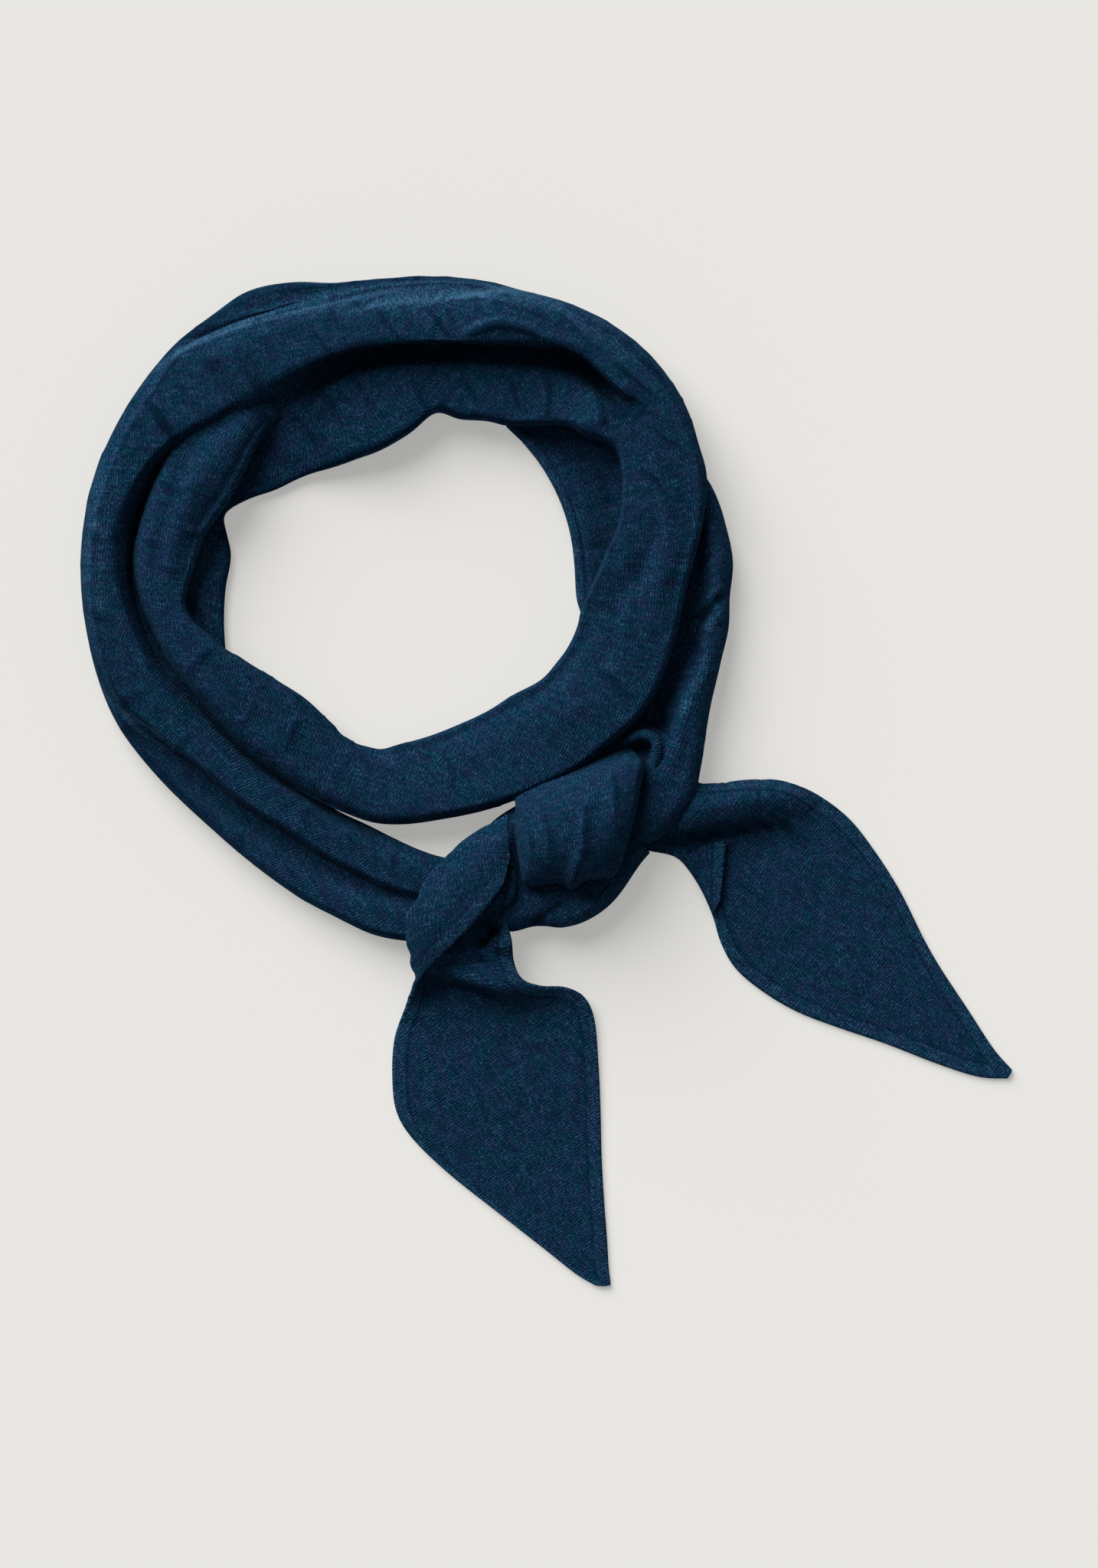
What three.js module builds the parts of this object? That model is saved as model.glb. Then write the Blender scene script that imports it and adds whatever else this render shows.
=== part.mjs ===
// A narrow wool scarf, wound twice into a loop, tied at its lower right and laid flat.
// Millimetres, +Z up, the table at z = 0. Each stretch of the scarf that shows is one mesh.
// The loop's stretches are sections set round the middle of the neck opening: an angle is in
// degrees from +X, anticlockwise, and a radius is measured from that middle.
import * as THREE from "three";

// ---- driving dimensions ----
const SEAM_GAP = 0.45; // between two stretches that meet end to end
const LAYER_GAP = 0.8; // between a stretch and the one it lies on
const LEAST_LAYER = 2.0; // the thinnest that a stretch gets where it lies on another
const CLOTH_WALL = 2.0; // the two tails, a single layer with its turned hem
const STATION_STEP = 5; // degrees between two sections of the loop
const EDGE_STEPS = [0.16, 0.5]; // where a section has points between an edge and the next fold
const FOLD_STEPS = [0.5]; // and between one fold and the next
const UNDER_POINTS = 8; // points across an underside that lies on another stretch
const FOLD_ROUNDING = 5.5; // how far in from its edge a rolled fold has risen fully
const CURL = 2.6; // how far a fold's foot stands in from its widest place
const RAMP = 4; // over this width an underside climbs onto what it lies on
const EDGE_MARGIN = 2.5; // how far outside the lower stretch's edge that climb is done
const STACK_REACH = 2.5; // the knot's pieces clear everything within this distance

const WOOL = { color: 0x24496a, roughness: 0.93, metalness: 0 };

// ---- tables and smooth lines ----

// Rows of numbers under named columns.
function table(columns, rows) {
  const names = columns.split(" ");
  return rows.map((row) => Object.fromEntries(names.map((name, i) => [name, row[i]])));
}

// A smooth value through a table's rows: y against x, level before the first and after the last.
function smooth(rows, x, y) {
  const xs = rows.map((row) => row[x]);
  const ys = rows.map((row) => row[y]);
  const slope = ys.map((_, i) => {
    const before = Math.max(i - 1, 0);
    const after = Math.min(i + 1, ys.length - 1);
    return (ys[after] - ys[before]) / (xs[after] - xs[before]);
  });
  return (at) => {
    if (at <= xs[0]) return ys[0];
    if (at >= xs[xs.length - 1]) return ys[ys.length - 1];
    const i = xs.findIndex((value) => value > at) - 1;
    const span = xs[i + 1] - xs[i];
    const t = (at - xs[i]) / span;
    const blend = t * t * (3 - 2 * t);
    const rise = t * (1 - t) * (1 - t) * slope[i] - t * t * (1 - t) * slope[i + 1];
    return ys[i] + (ys[i + 1] - ys[i]) * blend + rise * span;
  };
}

// A line that runs along the loop: an edge, a crest or a valley.
function line(rows) {
  const list = table("angle radius height", rows).sort((a, b) => a.angle - b.angle);
  return { radius: smooth(list, "angle", "radius"), height: smooth(list, "angle", "height") };
}

function smoothstep(t) {
  const k = Math.min(Math.max(t, 0), 1);
  return k * k * (3 - 2 * k);
}

// ---- the loop's stretches ----
// Angles run past 360 where a stretch passes +X: 300 to 418 is 300 to 360 and on to 58.

// First turn, left: from the knot up the left side. Two pleats lie along its outer side,
// and inside them a low shelf carries the second turn.
const FIRST_TURN_LEFT = {
  from: 134, to: 283,
  outer: line([
    [134, 112, 8], [145, 111.5, 7], [160, 111, 6], [177, 110.1, 6], [190, 109.2, 6], [205, 109, 5],
    [217, 107.2, 4], [225, 106.4, 4], [232, 106.6, 4], [240, 108.4, 4], [246, 110.6, 4],
    [253, 113.8, 4], [259, 116.6, 4], [264.5, 120.2, 4], [270, 121.9, 4], [283, 124, 4],
  ]),
  lines: [
    line([[134, 106.5, 22], [150, 106, 16], [195, 105.5, 14], [205, 105.2, 9], [215, 103.6, 8],
      [230, 103.2, 8.5], [242, 105, 9], [252, 107, 9.5], [263, 112, 10], [283, 117, 10]]),
    line([[134, 105, 22.2], [150, 104.5, 16.2], [195, 104.5, 14], [205, 103.9, 8.5],
      [215, 99.5, 5.5], [230, 95.6, 4.5], [240, 96, 4.5], [250, 98.6, 5], [262, 106, 6.5],
      [272, 111, 8.5], [283, 114, 10]]),
    line([[134, 101, 22.5], [150, 102, 16.5], [195, 102, 14.5], [205, 100.5, 14], [215, 95.5, 14],
      [230, 91.6, 14], [240, 92.2, 13.5], [250, 94.8, 13], [262, 101.6, 12.5], [272, 107, 11.5],
      [283, 110, 10.5]]),
    line([[134, 92, 20.5], [150, 96, 14.5], [165, 98.5, 13], [180, 99, 12.5], [195, 95, 12.5],
      [205, 91.5, 12.5], [215, 86.5, 12.5], [230, 85, 12.5], [240, 85.5, 12.5], [252, 88, 12],
      [262, 93, 11.5], [283, 104, 11]]),
    line([[134, 84.5, 6], [150, 91, 5], [165, 94, 4.5], [180, 96, 4.5], [195, 90, 4.5],
      [205, 86.5, 4.5], [215, 82.5, 4.5], [230, 81.4, 4.5], [240, 81.8, 5], [252, 84, 7],
      [262, 89, 9.5], [283, 101, 10.5]]),
    line([[134, 80, 5], [150, 86, 4.5], [180, 90, 4.5], [205, 82, 4.5], [215, 79.5, 4.5],
      [230, 79.4, 4.5], [240, 80, 5], [252, 83, 6.5], [262, 87.5, 8.5], [283, 99.5, 10]]),
  ],
  inner: line([
    [134, 49.5, 2.5], [145, 54, 2.5], [153.4, 61, 2.5], [159.8, 65.6, 2.5], [164, 63.4, 2.5],
    [170, 60.2, 2.5], [175, 59.8, 2.5], [180, 60.7, 2.5], [190, 62.5, 2.5], [200.5, 65.2, 2.5],
    [215, 70, 2.5], [230, 75, 2.5], [245, 78.5, 3], [255, 81.5, 3.5], [261.4, 83.6, 4],
    [268.3, 87.7, 4], [275, 92.6, 4], [283, 97.5, 4],
  ]),
};

// First turn, top: a broad outer ridge over the hidden second turn, a deep groove below it,
// and an inner band beside the neck opening.
const FIRST_TURN_TOP = {
  from: 38, to: 134,
  outer: line([
    [38, 112.5, 9], [47.7, 112.1, 9], [54, 110.6, 9], [60, 108.8, 9], [68.4, 106, 9], [74, 105.4, 8],
    [80, 104, 8], [86, 103.3, 7], [91.5, 102.7, 6], [96, 102.7, 6], [100, 103, 6], [104.5, 103.9, 6],
    [108.4, 106.9, 6], [113.7, 109.9, 6], [119, 112, 6], [126, 111.4, 7], [134, 112, 8],
  ]),
  lines: [
    line([[38, 106, 22], [60, 103, 23], [75, 101.6, 20], [90, 100.8, 13], [100, 100.6, 12.5],
      [106, 102.2, 13], [112, 105.4, 13.5], [118, 107.6, 13.5], [126, 108.6, 14], [134, 106.5, 22]]),
    line([[38, 104, 22.4], [60, 101, 23.3], [75, 100.2, 20.5], [84, 100.6, 14], [90, 99.6, 12],
      [100, 98.8, 11], [106, 99.2, 11], [112, 101.4, 11.5], [120, 103.8, 12.5], [128, 107.4, 15],
      [134, 105, 22.2]]),
    line([[38, 102, 22.8], [60, 98.6, 23.6], [75, 97.4, 22], [84, 97.4, 21], [95, 96.2, 21],
      [106, 95.6, 21.5], [112, 96.8, 22], [120, 99.2, 22], [128, 102.6, 21], [134, 101, 22.5]]),
    line([[38, 100.5, 22.8], [54, 98, 23.8], [66, 97, 24], [74, 92, 24], [84, 88, 24.5],
      [95, 87, 25], [106, 86, 25], [120, 87, 24], [134, 92, 20.5]]),
    line([[38, 98.5, 22.4], [47, 96.6, 18], [54, 95.2, 17], [66, 94, 17], [74, 87, 16], [84, 81, 16],
      [95, 79.6, 16], [106, 78.6, 16], [120, 79.6, 15], [134, 84.5, 6]]),
    line([[38, 96.5, 22], [45, 95, 12], [54, 91.6, 7], [62, 87.6, 6.5], [70, 82, 6.5],
      [84, 77.4, 6.5], [95, 76.2, 6.5], [106, 76, 6.5], [120, 77, 6], [134, 80, 5]]),
    line([[38, 92, 21.5], [45, 88, 17], [54, 81.5, 13.5], [62, 77, 13], [70, 73.6, 12.5],
      [84, 69, 12.5], [95, 68.4, 12.5], [106, 69, 12], [118, 70, 9], [126, 68, 5.5], [134, 66, 5]]),
  ],
  inner: line([
    [38, 78.3, 9], [44, 75.4, 8], [50, 68.6, 6.5], [56.4, 63, 5], [62, 61.2, 4], [71.6, 57.8, 4],
    [79.7, 58.1, 4], [84.4, 53.6, 4], [87, 51, 4], [93, 47.7, 3.5], [100, 45.4, 3.5],
    [107, 44.6, 3], [121, 45.5, 2.5], [134, 49.5, 2.5],
  ]),
};

// Second turn, underneath, right: it comes out from below the top, shows a hemmed edge at the
// neck opening and a rolled outer side, and goes down to the knot.
const UNDER_TURN = {
  from: 312, to: 417,
  outer: line([
    [312, 121, 5], [314.7, 122.6, 5], [319, 123.5, 5], [322.5, 123.2, 5], [325.6, 119.9, 6],
    [330, 116.4, 6], [336, 112.3, 6], [340, 111, 6], [346.4, 110.2, 6], [352, 110.7, 6], [357, 109.9, 6],
    [363.4, 111.2, 6], [369.5, 110.2, 6], [375, 109.3, 6], [381, 106.5, 5], [390, 95, 4],
    [398, 84, 3], [407, 74, 2], [417, 66, 1.5],
  ]),
  lines: [
    line([[312, 111, 14], [320, 113.5, 15], [328, 109, 16], [335, 105, 16], [345, 105.4, 15],
      [352, 104.6, 13], [360, 105, 14.5], [370, 104.6, 13], [380, 102, 9], [390, 92, 7],
      [398, 81.5, 5], [407, 72, 3.4], [417, 65.4, 2.6]]),
    line([[312, 104, 11], [320, 104, 11.5], [328, 99, 9], [335, 96.5, 8], [345, 97.6, 8],
      [352, 97.6, 7], [360, 98.8, 9], [370, 99.5, 9], [380, 98.5, 8], [390, 90, 7], [398, 79, 5],
      [407, 70.5, 3.4], [417, 64.9, 2.6]]),
    line([[312, 99, 10], [320, 97, 9.5], [328, 93, 8], [335, 90, 8], [345, 85, 8], [360, 80, 8],
      [380, 78, 7], [390, 76, 6.5], [398, 72.5, 5], [407, 67.5, 3.4], [417, 64.4, 2.6]]),
  ],
  inner: line([
    [312, 87.2, 4], [320, 86.5, 4], [330, 80, 3.5], [340, 68, 2.5], [350, 60.2, 1.4], [355, 58, 1.2],
    [365, 57.4, 1.2], [381, 58.4, 1.2], [394, 59.6, 1.2], [403, 60.7, 1.2], [417, 62.6, 1.2],
  ]),
  inRounding: 2.2,
};

// Second turn, in front: right, bottom and left, one strip that shows most.
const FRONT_TURN_LINES = {
  outer: line([
    [127, 77, 6], [132, 79.5, 9], [138, 81.6, 10], [145, 85, 11], [150, 87.6, 11], [157, 90, 11],
    [167, 91, 11], [174, 92.4, 11], [178, 92.8, 11], [186.5, 90, 11], [191, 87.6, 10.5],
    [199, 85, 10], [205, 82.6, 9.5], [216, 79, 9], [230, 78.6, 8], [240, 78.8, 7.5], [255, 81, 7],
    [262, 82.8, 6.5], [268, 82.7, 6], [279, 81.6, 6], [290, 82.8, 6], [296, 83, 7], [306, 84.6, 8],
    [313, 86.8, 9], [322, 88.6, 11], [330, 91.6, 13], [336, 92.8, 14], [345, 92.7, 14],
    [357, 93.2, 14], [363, 96.3, 14], [369, 100.5, 14], [373, 103.6, 14], [377, 106.6, 13.5],
    [381, 108.6, 13], [384, 109, 12], [390, 111.3, 10.5], [396, 112.6, 9], [398, 112.5, 9],
  ]),
  lines: [
    line([[127, 76, 12], [135, 77.5, 17], [150, 84.5, 19], [178, 88.5, 20], [205, 79, 19],
      [230, 74.5, 17.5], [255, 77, 15.5], [268, 78.4, 14.5], [290, 78.4, 14.5], [306, 79.6, 16.5],
      [322, 83, 20], [336, 87, 21.5], [357, 88, 22], [369, 94.5, 22.5], [381, 101.5, 22.5],
      [398, 104, 22.4]]),
    line([[127, 74, 12.5], [135, 74.5, 17.5], [150, 78.5, 18.5], [178, 84.5, 19], [205, 71, 17.5],
      [230, 66, 16.5], [255, 69, 13], [268, 69, 11.5], [290, 69, 12], [306, 69, 15],
      [322, 73.5, 19.5], [336, 78, 21], [357, 80.5, 21.5], [369, 84, 22], [381, 91.5, 22.5],
      [398, 96.5, 22]]),
    line([[127, 72.5, 12], [135, 72, 17], [150, 72, 17.5], [178, 78, 17.5], [205, 67, 15.5],
      [230, 59.5, 14], [255, 63, 10], [268, 61, 9.5], [290, 58.5, 10], [306, 59, 13],
      [322, 63.5, 17.5], [336, 67, 19.5], [357, 71, 20.5], [369, 75.5, 21], [381, 84.5, 21.5],
      [398, 88, 21.5]]),
  ],
  inner: line([
    [127, 70.5, 5], [132, 69.6, 9], [139, 67.3, 10], [146, 65.6, 10], [154, 65.2, 10],
    [159.6, 66.2, 9.5], [167, 69.4, 10], [171.5, 70.5, 10], [177, 71.6, 10], [182.4, 73.8, 10],
    [185.5, 75, 10], [190.7, 72.8, 10], [194, 69.9, 9], [200.5, 65.2, 7.5], [206, 60.7, 6],
    [216.8, 55.2, 5], [229.6, 52.2, 4.5], [243, 54.3, 4], [249, 57.2, 4], [257, 57.6, 4],
    [262, 57.5, 4], [267, 55.4, 4], [278, 53.1, 4], [290, 51.7, 4], [303, 52, 4.5], [314, 53.1, 5],
    [324.5, 56.9, 6], [331, 58, 7], [338, 59.4, 8], [347, 60.3, 9], [351, 60.2, 9.5],
    [360, 63.7, 10], [368.7, 68.9, 10.5], [374, 73.8, 11], [383, 79.7, 11.5], [390, 83.2, 12],
    [393.6, 83.4, 11], [396, 80.5, 10], [398, 78.3, 9],
  ]),
};
const FRONT_TURN_RIGHT = { ...FRONT_TURN_LINES, from: 300, to: 398 };
const FRONT_TURN_BOTTOM = { ...FRONT_TURN_LINES, from: 255, to: 300 };
const FRONT_TURN_LEFT = { ...FRONT_TURN_LINES, from: 127, to: 255 };

// Under the knot's band: the strands that cross there share one rounded solid, which shows
// as two dark lobes below the band.
const KNOT_UNDER = {
  from: 283, to: 312,
  outer: line([
    [283, 120, 5], [286.4, 124.2, 5.5], [290.7, 124.6, 5.5], [295, 129.4, 6], [299, 130.5, 6],
    [303, 129.5, 6], [306.5, 126.8, 6], [310, 124.2, 6], [312, 123.8, 5],
  ]),
  lines: [
    line([[283, 115, 10], [290, 119, 13], [300, 124, 14], [308, 120, 13.5], [312, 114, 12]]),
    line([[283, 108, 10], [290, 111, 12], [300, 114, 13], [308, 112, 12.5], [312, 106, 11]]),
    line([[283, 100, 10], [298, 98, 12], [312, 98, 10]]),
  ],
  inner: line([
    [283, 93, 4], [290, 86.4, 4], [296.5, 84.6, 4], [300, 84.6, 4], [306, 85.5, 4], [312, 87.2, 4],
  ]),
};

// A section's edges, crests and valleys, from the inner side to the outer side.
function sectionKnots(strand, angle) {
  const knots = [strand.outer, ...strand.lines, strand.inner].map((each, i, all) => {
    const last = all.length - 1;
    const from = i === 0 ? all[1] : i === last ? all[last - 1] : each;
    return { radius: each.radius(angle), height: from.height(angle) };
  }).reverse();
  for (let i = 1; i < knots.length; i += 1) {
    knots[i].radius = Math.max(knots[i].radius, knots[i - 1].radius + 0.4);
  }
  return knots;
}

// Where a section has its points: at every edge and fold, and between them.
function sectionRadii(strand, angle) {
  const knots = sectionKnots(strand, angle).map((knot) => knot.radius);
  const last = knots.length - 2;
  return knots.slice(0, -1).flatMap((from, i) => {
    const innermost = i === 0 ? EDGE_STEPS : FOLD_STEPS;
    const steps = i === last ? EDGE_STEPS.map((step) => 1 - step).reverse() : innermost;
    return [0, ...steps].map((step) => from + (knots[i + 1] - from) * step);
  }).concat(knots[last + 1]).reverse();
}

// The height of a stretch's upper side at an angle and a radius, before its edges are rounded.
function crown(strand, angle, radius) {
  return smoothMonotone(sectionKnots(strand, angle), radius);
}

// A smooth curve through knots that never rises above a crest or dips below a valley.
function smoothMonotone(knots, at) {
  const last = knots.length - 1;
  if (at <= knots[0].radius) return knots[0].height;
  if (at >= knots[last].radius) return knots[last].height;
  const rate = (i) =>
    (knots[i + 1].height - knots[i].height) / (knots[i + 1].radius - knots[i].radius);
  const tangent = (i) => {
    if (i === 0 || i === last) return 0;
    const [a, b] = [rate(i - 1), rate(i)];
    return a * b <= 0 ? 0 : (2 * a * b) / (a + b);
  };
  const i = knots.findIndex((knot) => knot.radius > at) - 1;
  const span = knots[i + 1].radius - knots[i].radius;
  const t = (at - knots[i].radius) / span;
  const rise = t * (1 - t) * (1 - t) * tangent(i) - t * t * (1 - t) * tangent(i + 1);
  return knots[i].height + (knots[i + 1].height - knots[i].height) * smoothstep(t) + rise * span;
}

// The same with its two edges rolled over, down to the height of the edge itself.
function topHeight(strand, angle, radius) {
  const roll = (inside, rounding) => {
    const t = 1 - Math.min(Math.max(inside / rounding, 0), 1);
    return Math.sqrt(1 - t * t);
  };
  const [out, inn] = [strand.outer.radius(angle), strand.inner.radius(angle)];
  const half = (out - inn) / 2;
  const outRoll = roll(out - radius, Math.min(strand.outRounding ?? FOLD_ROUNDING, half));
  const inRoll = roll(radius - inn, Math.min(strand.inRounding ?? FOLD_ROUNDING, half));
  const side = radius > (out + inn) / 2 ? strand.outer.height(angle) : strand.inner.height(angle);
  return side + (crown(strand, angle, radius) - side) * Math.min(outRoll, inRoll);
}

// How high the stretch below stands at an angle and a radius, with a ramp up to it outside its
// edges, or 0 where there is none.
function heightBelow(strand, angle, radius) {
  if (!strand) return 0;
  const [out, inn] = [strand.outer.radius(angle), strand.inner.radius(angle)];
  const start = smoothstep((angle - strand.from + RAMP) / RAMP);
  const end = smoothstep((strand.to + RAMP - angle) / RAMP);
  const reach = EDGE_MARGIN + RAMP;
  const sides = smoothstep((radius - inn + reach) / RAMP) * smoothstep((out + reach - radius) / RAMP);
  const covered = start * end * sides;
  if (covered === 0) return 0;
  const inside = Math.min(Math.max(radius, inn + FOLD_ROUNDING / 2), out - FOLD_ROUNDING / 2);
  return crown(strand, angle, inside) * covered;
}

// A section's closed outline, as [radius, height] points: over the top from the outer side to
// the inner side, then back along the underside.
function sectionOutline(strand, angle, below) {
  const [out, inn] = [strand.outer.radius(angle), strand.inner.radius(angle)];
  const support = (radius) => {
    const height = Math.max(...below.map((each) => heightBelow(each, angle, radius)), 0);
    return height > 0 ? height + LAYER_GAP : 0;
  };
  const points = sectionRadii(strand, angle).map((radius) => [
    radius, Math.max(topHeight(strand, angle, radius), support(radius) + LEAST_LAYER),
  ]);
  const curl = Math.min(CURL, (out - inn) / 5);
  const count = below.length > 0 ? UNDER_POINTS : 2;
  for (let i = 0; i < count; i += 1) {
    const radius = inn + curl + (out - inn - 2 * curl) * (i / (count - 1));
    points.push([radius, support(radius)]);
  }
  return points;
}

// ---- meshes ----

const scarf = new THREE.Group();
const material = new THREE.MeshStandardMaterial(WOOL);

function addMesh(name, geometry) {
  const flat = geometry.index ? geometry.toNonIndexed() : geometry;
  flat.computeVertexNormals();
  const mesh = new THREE.Mesh(flat, material.clone());
  mesh.name = name;
  scarf.add(mesh);
}

// A closed body through rings of equal length, its two ends capped.
function loftRings(rings, capOutline) {
  const size = rings[0].length;
  const positions = rings.flat(2);
  const index = [];
  for (let s = 0; s < rings.length - 1; s += 1) {
    for (let i = 0; i < size; i += 1) {
      const [a, b] = [s * size + i, s * size + ((i + 1) % size)];
      index.push(a, a + size, b, b, a + size, b + size);
    }
  }
  const lastRing = (rings.length - 1) * size;
  for (const [a, b, c] of capFaces(capOutline, 0, size)) index.push(a, b, c);
  for (const [a, b, c] of capFaces(capOutline, rings.length - 1, size)) {
    index.push(lastRing + a, lastRing + c, lastRing + b);
  }
  const geometry = new THREE.BufferGeometry();
  geometry.setAttribute("position", new THREE.Float32BufferAttribute(positions, 3));
  geometry.setIndex(index);
  return outward(geometry);
}

// Triangles over a ring's end, wound as the ring's points run. A wall's ring, which has no flat
// outline, is closed by a strip between its two sides.
function capFaces(capOutline, ring, size) {
  if (!capOutline) {
    const strip = [];
    for (let i = 0; i < size / 2 - 1; i += 1) {
      const [a, b, c, d] = [i, i + 1, size - 2 - i, size - 1 - i];
      strip.push([a, b, c], [a, c, d]);
    }
    return strip;
  }
  const points = capOutline(ring).map(([x, y]) => new THREE.Vector2(x, y));
  const clockwise = THREE.ShapeUtils.isClockWise(points);
  const faces = THREE.ShapeUtils.triangulateShape(clockwise ? [...points].reverse() : points, []);
  const last = points.length - 1;
  return faces.map(([a, b, c]) => (clockwise ? [last - a, last - c, last - b] : [a, b, c]));
}

// Turns every face over if the body's faces point inwards.
function outward(geometry) {
  const p = geometry.attributes.position;
  const [a, b, c] = [new THREE.Vector3(), new THREE.Vector3(), new THREE.Vector3()];
  const index = [...geometry.index.array];
  let volume = 0;
  for (let i = 0; i < index.length; i += 3) {
    a.fromBufferAttribute(p, index[i]);
    b.fromBufferAttribute(p, index[i + 1]);
    c.fromBufferAttribute(p, index[i + 2]);
    volume += a.dot(b.cross(c)) / 6;
  }
  if (volume < 0) {
    for (let i = 0; i < index.length; i += 3) {
      [index[i + 1], index[i + 2]] = [index[i + 2], index[i + 1]];
    }
    geometry.setIndex(index);
  }
  return geometry;
}

function onLoop(angle, radius, height) {
  const turn = THREE.MathUtils.degToRad(angle);
  return [radius * Math.cos(turn), radius * Math.sin(turn), height];
}

// Angles of a stretch's sections: every STATION_STEP, and its two ends, half a seam short.
function stations(strand) {
  const middle = (strand.outer.radius(strand.from) + strand.inner.radius(strand.from)) / 2;
  const short = THREE.MathUtils.radToDeg(SEAM_GAP / 2 / (middle * 0.7));
  const angles = [strand.from + short];
  const first = Math.floor(strand.from / STATION_STEP) + 1;
  for (let k = first; k * STATION_STEP < strand.to - 0.5; k += 1) {
    if (k * STATION_STEP > strand.from + 0.5) angles.push(k * STATION_STEP);
  }
  angles.push(strand.to - short);
  return angles;
}

function addStrand(name, strand, below = []) {
  const outlines = stations(strand).map((angle) => ({
    angle,
    points: sectionOutline(strand, angle, below),
  }));
  const rings = outlines.map(({ angle, points }) => points.map(([r, z]) => onLoop(angle, r, z)));
  addMesh(name, loftRings(rings, (i) => outlines[i].points));
}

// The same stretch, or the same line, for angles one full turn lower.
function turnedBack(strand) {
  const back = ({ radius, height }) => ({
    radius: (angle) => radius(angle + 360),
    height: (angle) => height(angle + 360),
  });
  return {
    ...strand,
    from: strand.from - 360, to: strand.to - 360,
    outer: back(strand.outer), inner: back(strand.inner), lines: strand.lines.map(back),
  };
}

// How high the stretches under the knot's own pieces stand round a place, with the gap over them.
function stackHeight(x, y) {
  const under = [FIRST_TURN_LEFT, KNOT_UNDER, UNDER_TURN];
  let height = 0;
  for (const [dx, dy] of [[0, 0], [1, 0], [-1, 0], [0, 1], [0, -1]]) {
    const [px, py] = [x + dx * STACK_REACH, y + dy * STACK_REACH];
    const angle = (THREE.MathUtils.radToDeg(Math.atan2(py, px)) + 360) % 360;
    const radius = Math.hypot(px, py);
    height = Math.max(height, ...under.map((strand) => heightBelow(strand, angle, radius)));
  }
  return height > 0 ? height + LAYER_GAP : 0;
}

// ---- the knot ----

// The band that wraps the knot, from its upper end behind the front turn down to where it tucks
// in. Each row is a section: its two ends and its middle, its height in the middle and at its
// ends, and how deep the crease along its middle is.
const BAND_SECTIONS = table("left middle right height side crease", [
  [[37.2, -75.2], [57.6, -65.8], [78.4, -58.6], 19, 14, 0],
  [[36.9, -79.0], [57.6, -70.8], [80.8, -62.4], 26.5, 17, 0],
  [[37.1, -84.5], [57.4, -77.5], [79.7, -69.0], 30.5, 18, 0.5],
  [[37.6, -89.5], [57.2, -84.5], [78.3, -76.5], 31.5, 18, 1.5],
  [[38.4, -94.5], [56.8, -91.0], [76.2, -84.5], 30.5, 18, 3],
  [[39.1, -98.8], [56.2, -96.0], [74.3, -92.0], 27.5, 17, 5],
  [[39.9, -101.9], [55.6, -99.6], [72.4, -97.4], 23, 16, 6],
  [[42.2, -103.4], [55.2, -101.6], [69.6, -100.9], 18, 15, 3],
]);
const BAND_POINTS = 14; // points across the band's upper side
const BAND_ROUNDING = 0.24; // the share of its width over which each side rises
const CREASE_WIDTH = 0.09; // the crease's half width, as a share of the band's
const BAND_UNDERSIDE = 6; // no lower than this where nothing lies under it

// A point on the parabola through three points, at 0, 1/2 and 1.
function throughThree([a, b, c], t) {
  const weights = [(1 - t) * (1 - 2 * t), 4 * t * (1 - t), t * (2 * t - 1)];
  return [0, 1].map((k) => a[k] * weights[0] + b[k] * weights[1] + c[k] * weights[2]);
}

function addKnotBand() {
  const rings = BAND_SECTIONS.map(({ left, middle, right, height, side, crease }) => {
    const ring = [];
    for (let i = 0; i < BAND_POINTS; i += 1) {
      const t = i / (BAND_POINTS - 1);
      const [x, y] = throughThree([left, middle, right], t);
      const near = 1 - Math.min(Math.min(t, 1 - t) / BAND_ROUNDING, 1);
      const fold = crease * Math.exp(-(((t - 0.5) / CREASE_WIDTH) ** 2));
      ring.push([x, y, side + (height - side) * Math.sqrt(1 - near * near) - fold]);
    }
    for (let i = BAND_POINTS - 1; i >= 0; i -= 2) {
      const t = 0.04 + 0.92 * (i / (BAND_POINTS - 1));
      const [x, y] = throughThree([left, middle, right], t);
      ring.push([x, y, Math.max(stackHeight(x, y), BAND_UNDERSIDE)]);
    }
    return ring;
  });
  const across = (ring) => ring.map(([x, y, z]) => [Math.hypot(x - ring[0][0], y - ring[0][1]), z]);
  addMesh("knot_band", loftRings(rings, (i) => across(rings[i === 0 ? 0 : rings.length - 1])));
}

// The small roll of cloth that turns round the band's upper corner.
const LOOP_ROUTE = [
  [75.2, -54.8, 15.5], [77.8, -53, 16.5], [81.4, -52.2, 17.5], [84.3, -54.2, 18], [85, -57.6, 18],
  [84.3, -61.4, 18], [83.2, -65.4, 17],
];
const LOOP_RADIUS = 1.9;
const LOOP_SIDES = 8;
const LOOP_STEPS = 12;

function addKnotLoop() {
  const path = new THREE.CatmullRomCurve3(LOOP_ROUTE.map((point) => new THREE.Vector3(...point)));
  const circle = Array.from({ length: LOOP_SIDES }, (_, i) => {
    const turn = (2 * Math.PI * i) / LOOP_SIDES;
    return new THREE.Vector2(LOOP_RADIUS * Math.cos(turn), LOOP_RADIUS * Math.sin(turn));
  });
  const settings = { steps: LOOP_STEPS, extrudePath: path, bevelEnabled: false };
  addMesh("knot_loop", new THREE.ExtrudeGeometry(new THREE.Shape(circle), settings));
}

// ---- the tails ----
// A tail is a wall. Each row of its tables is a section across it, as points on the middle of
// the cloth, from one hem to the other.

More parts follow.
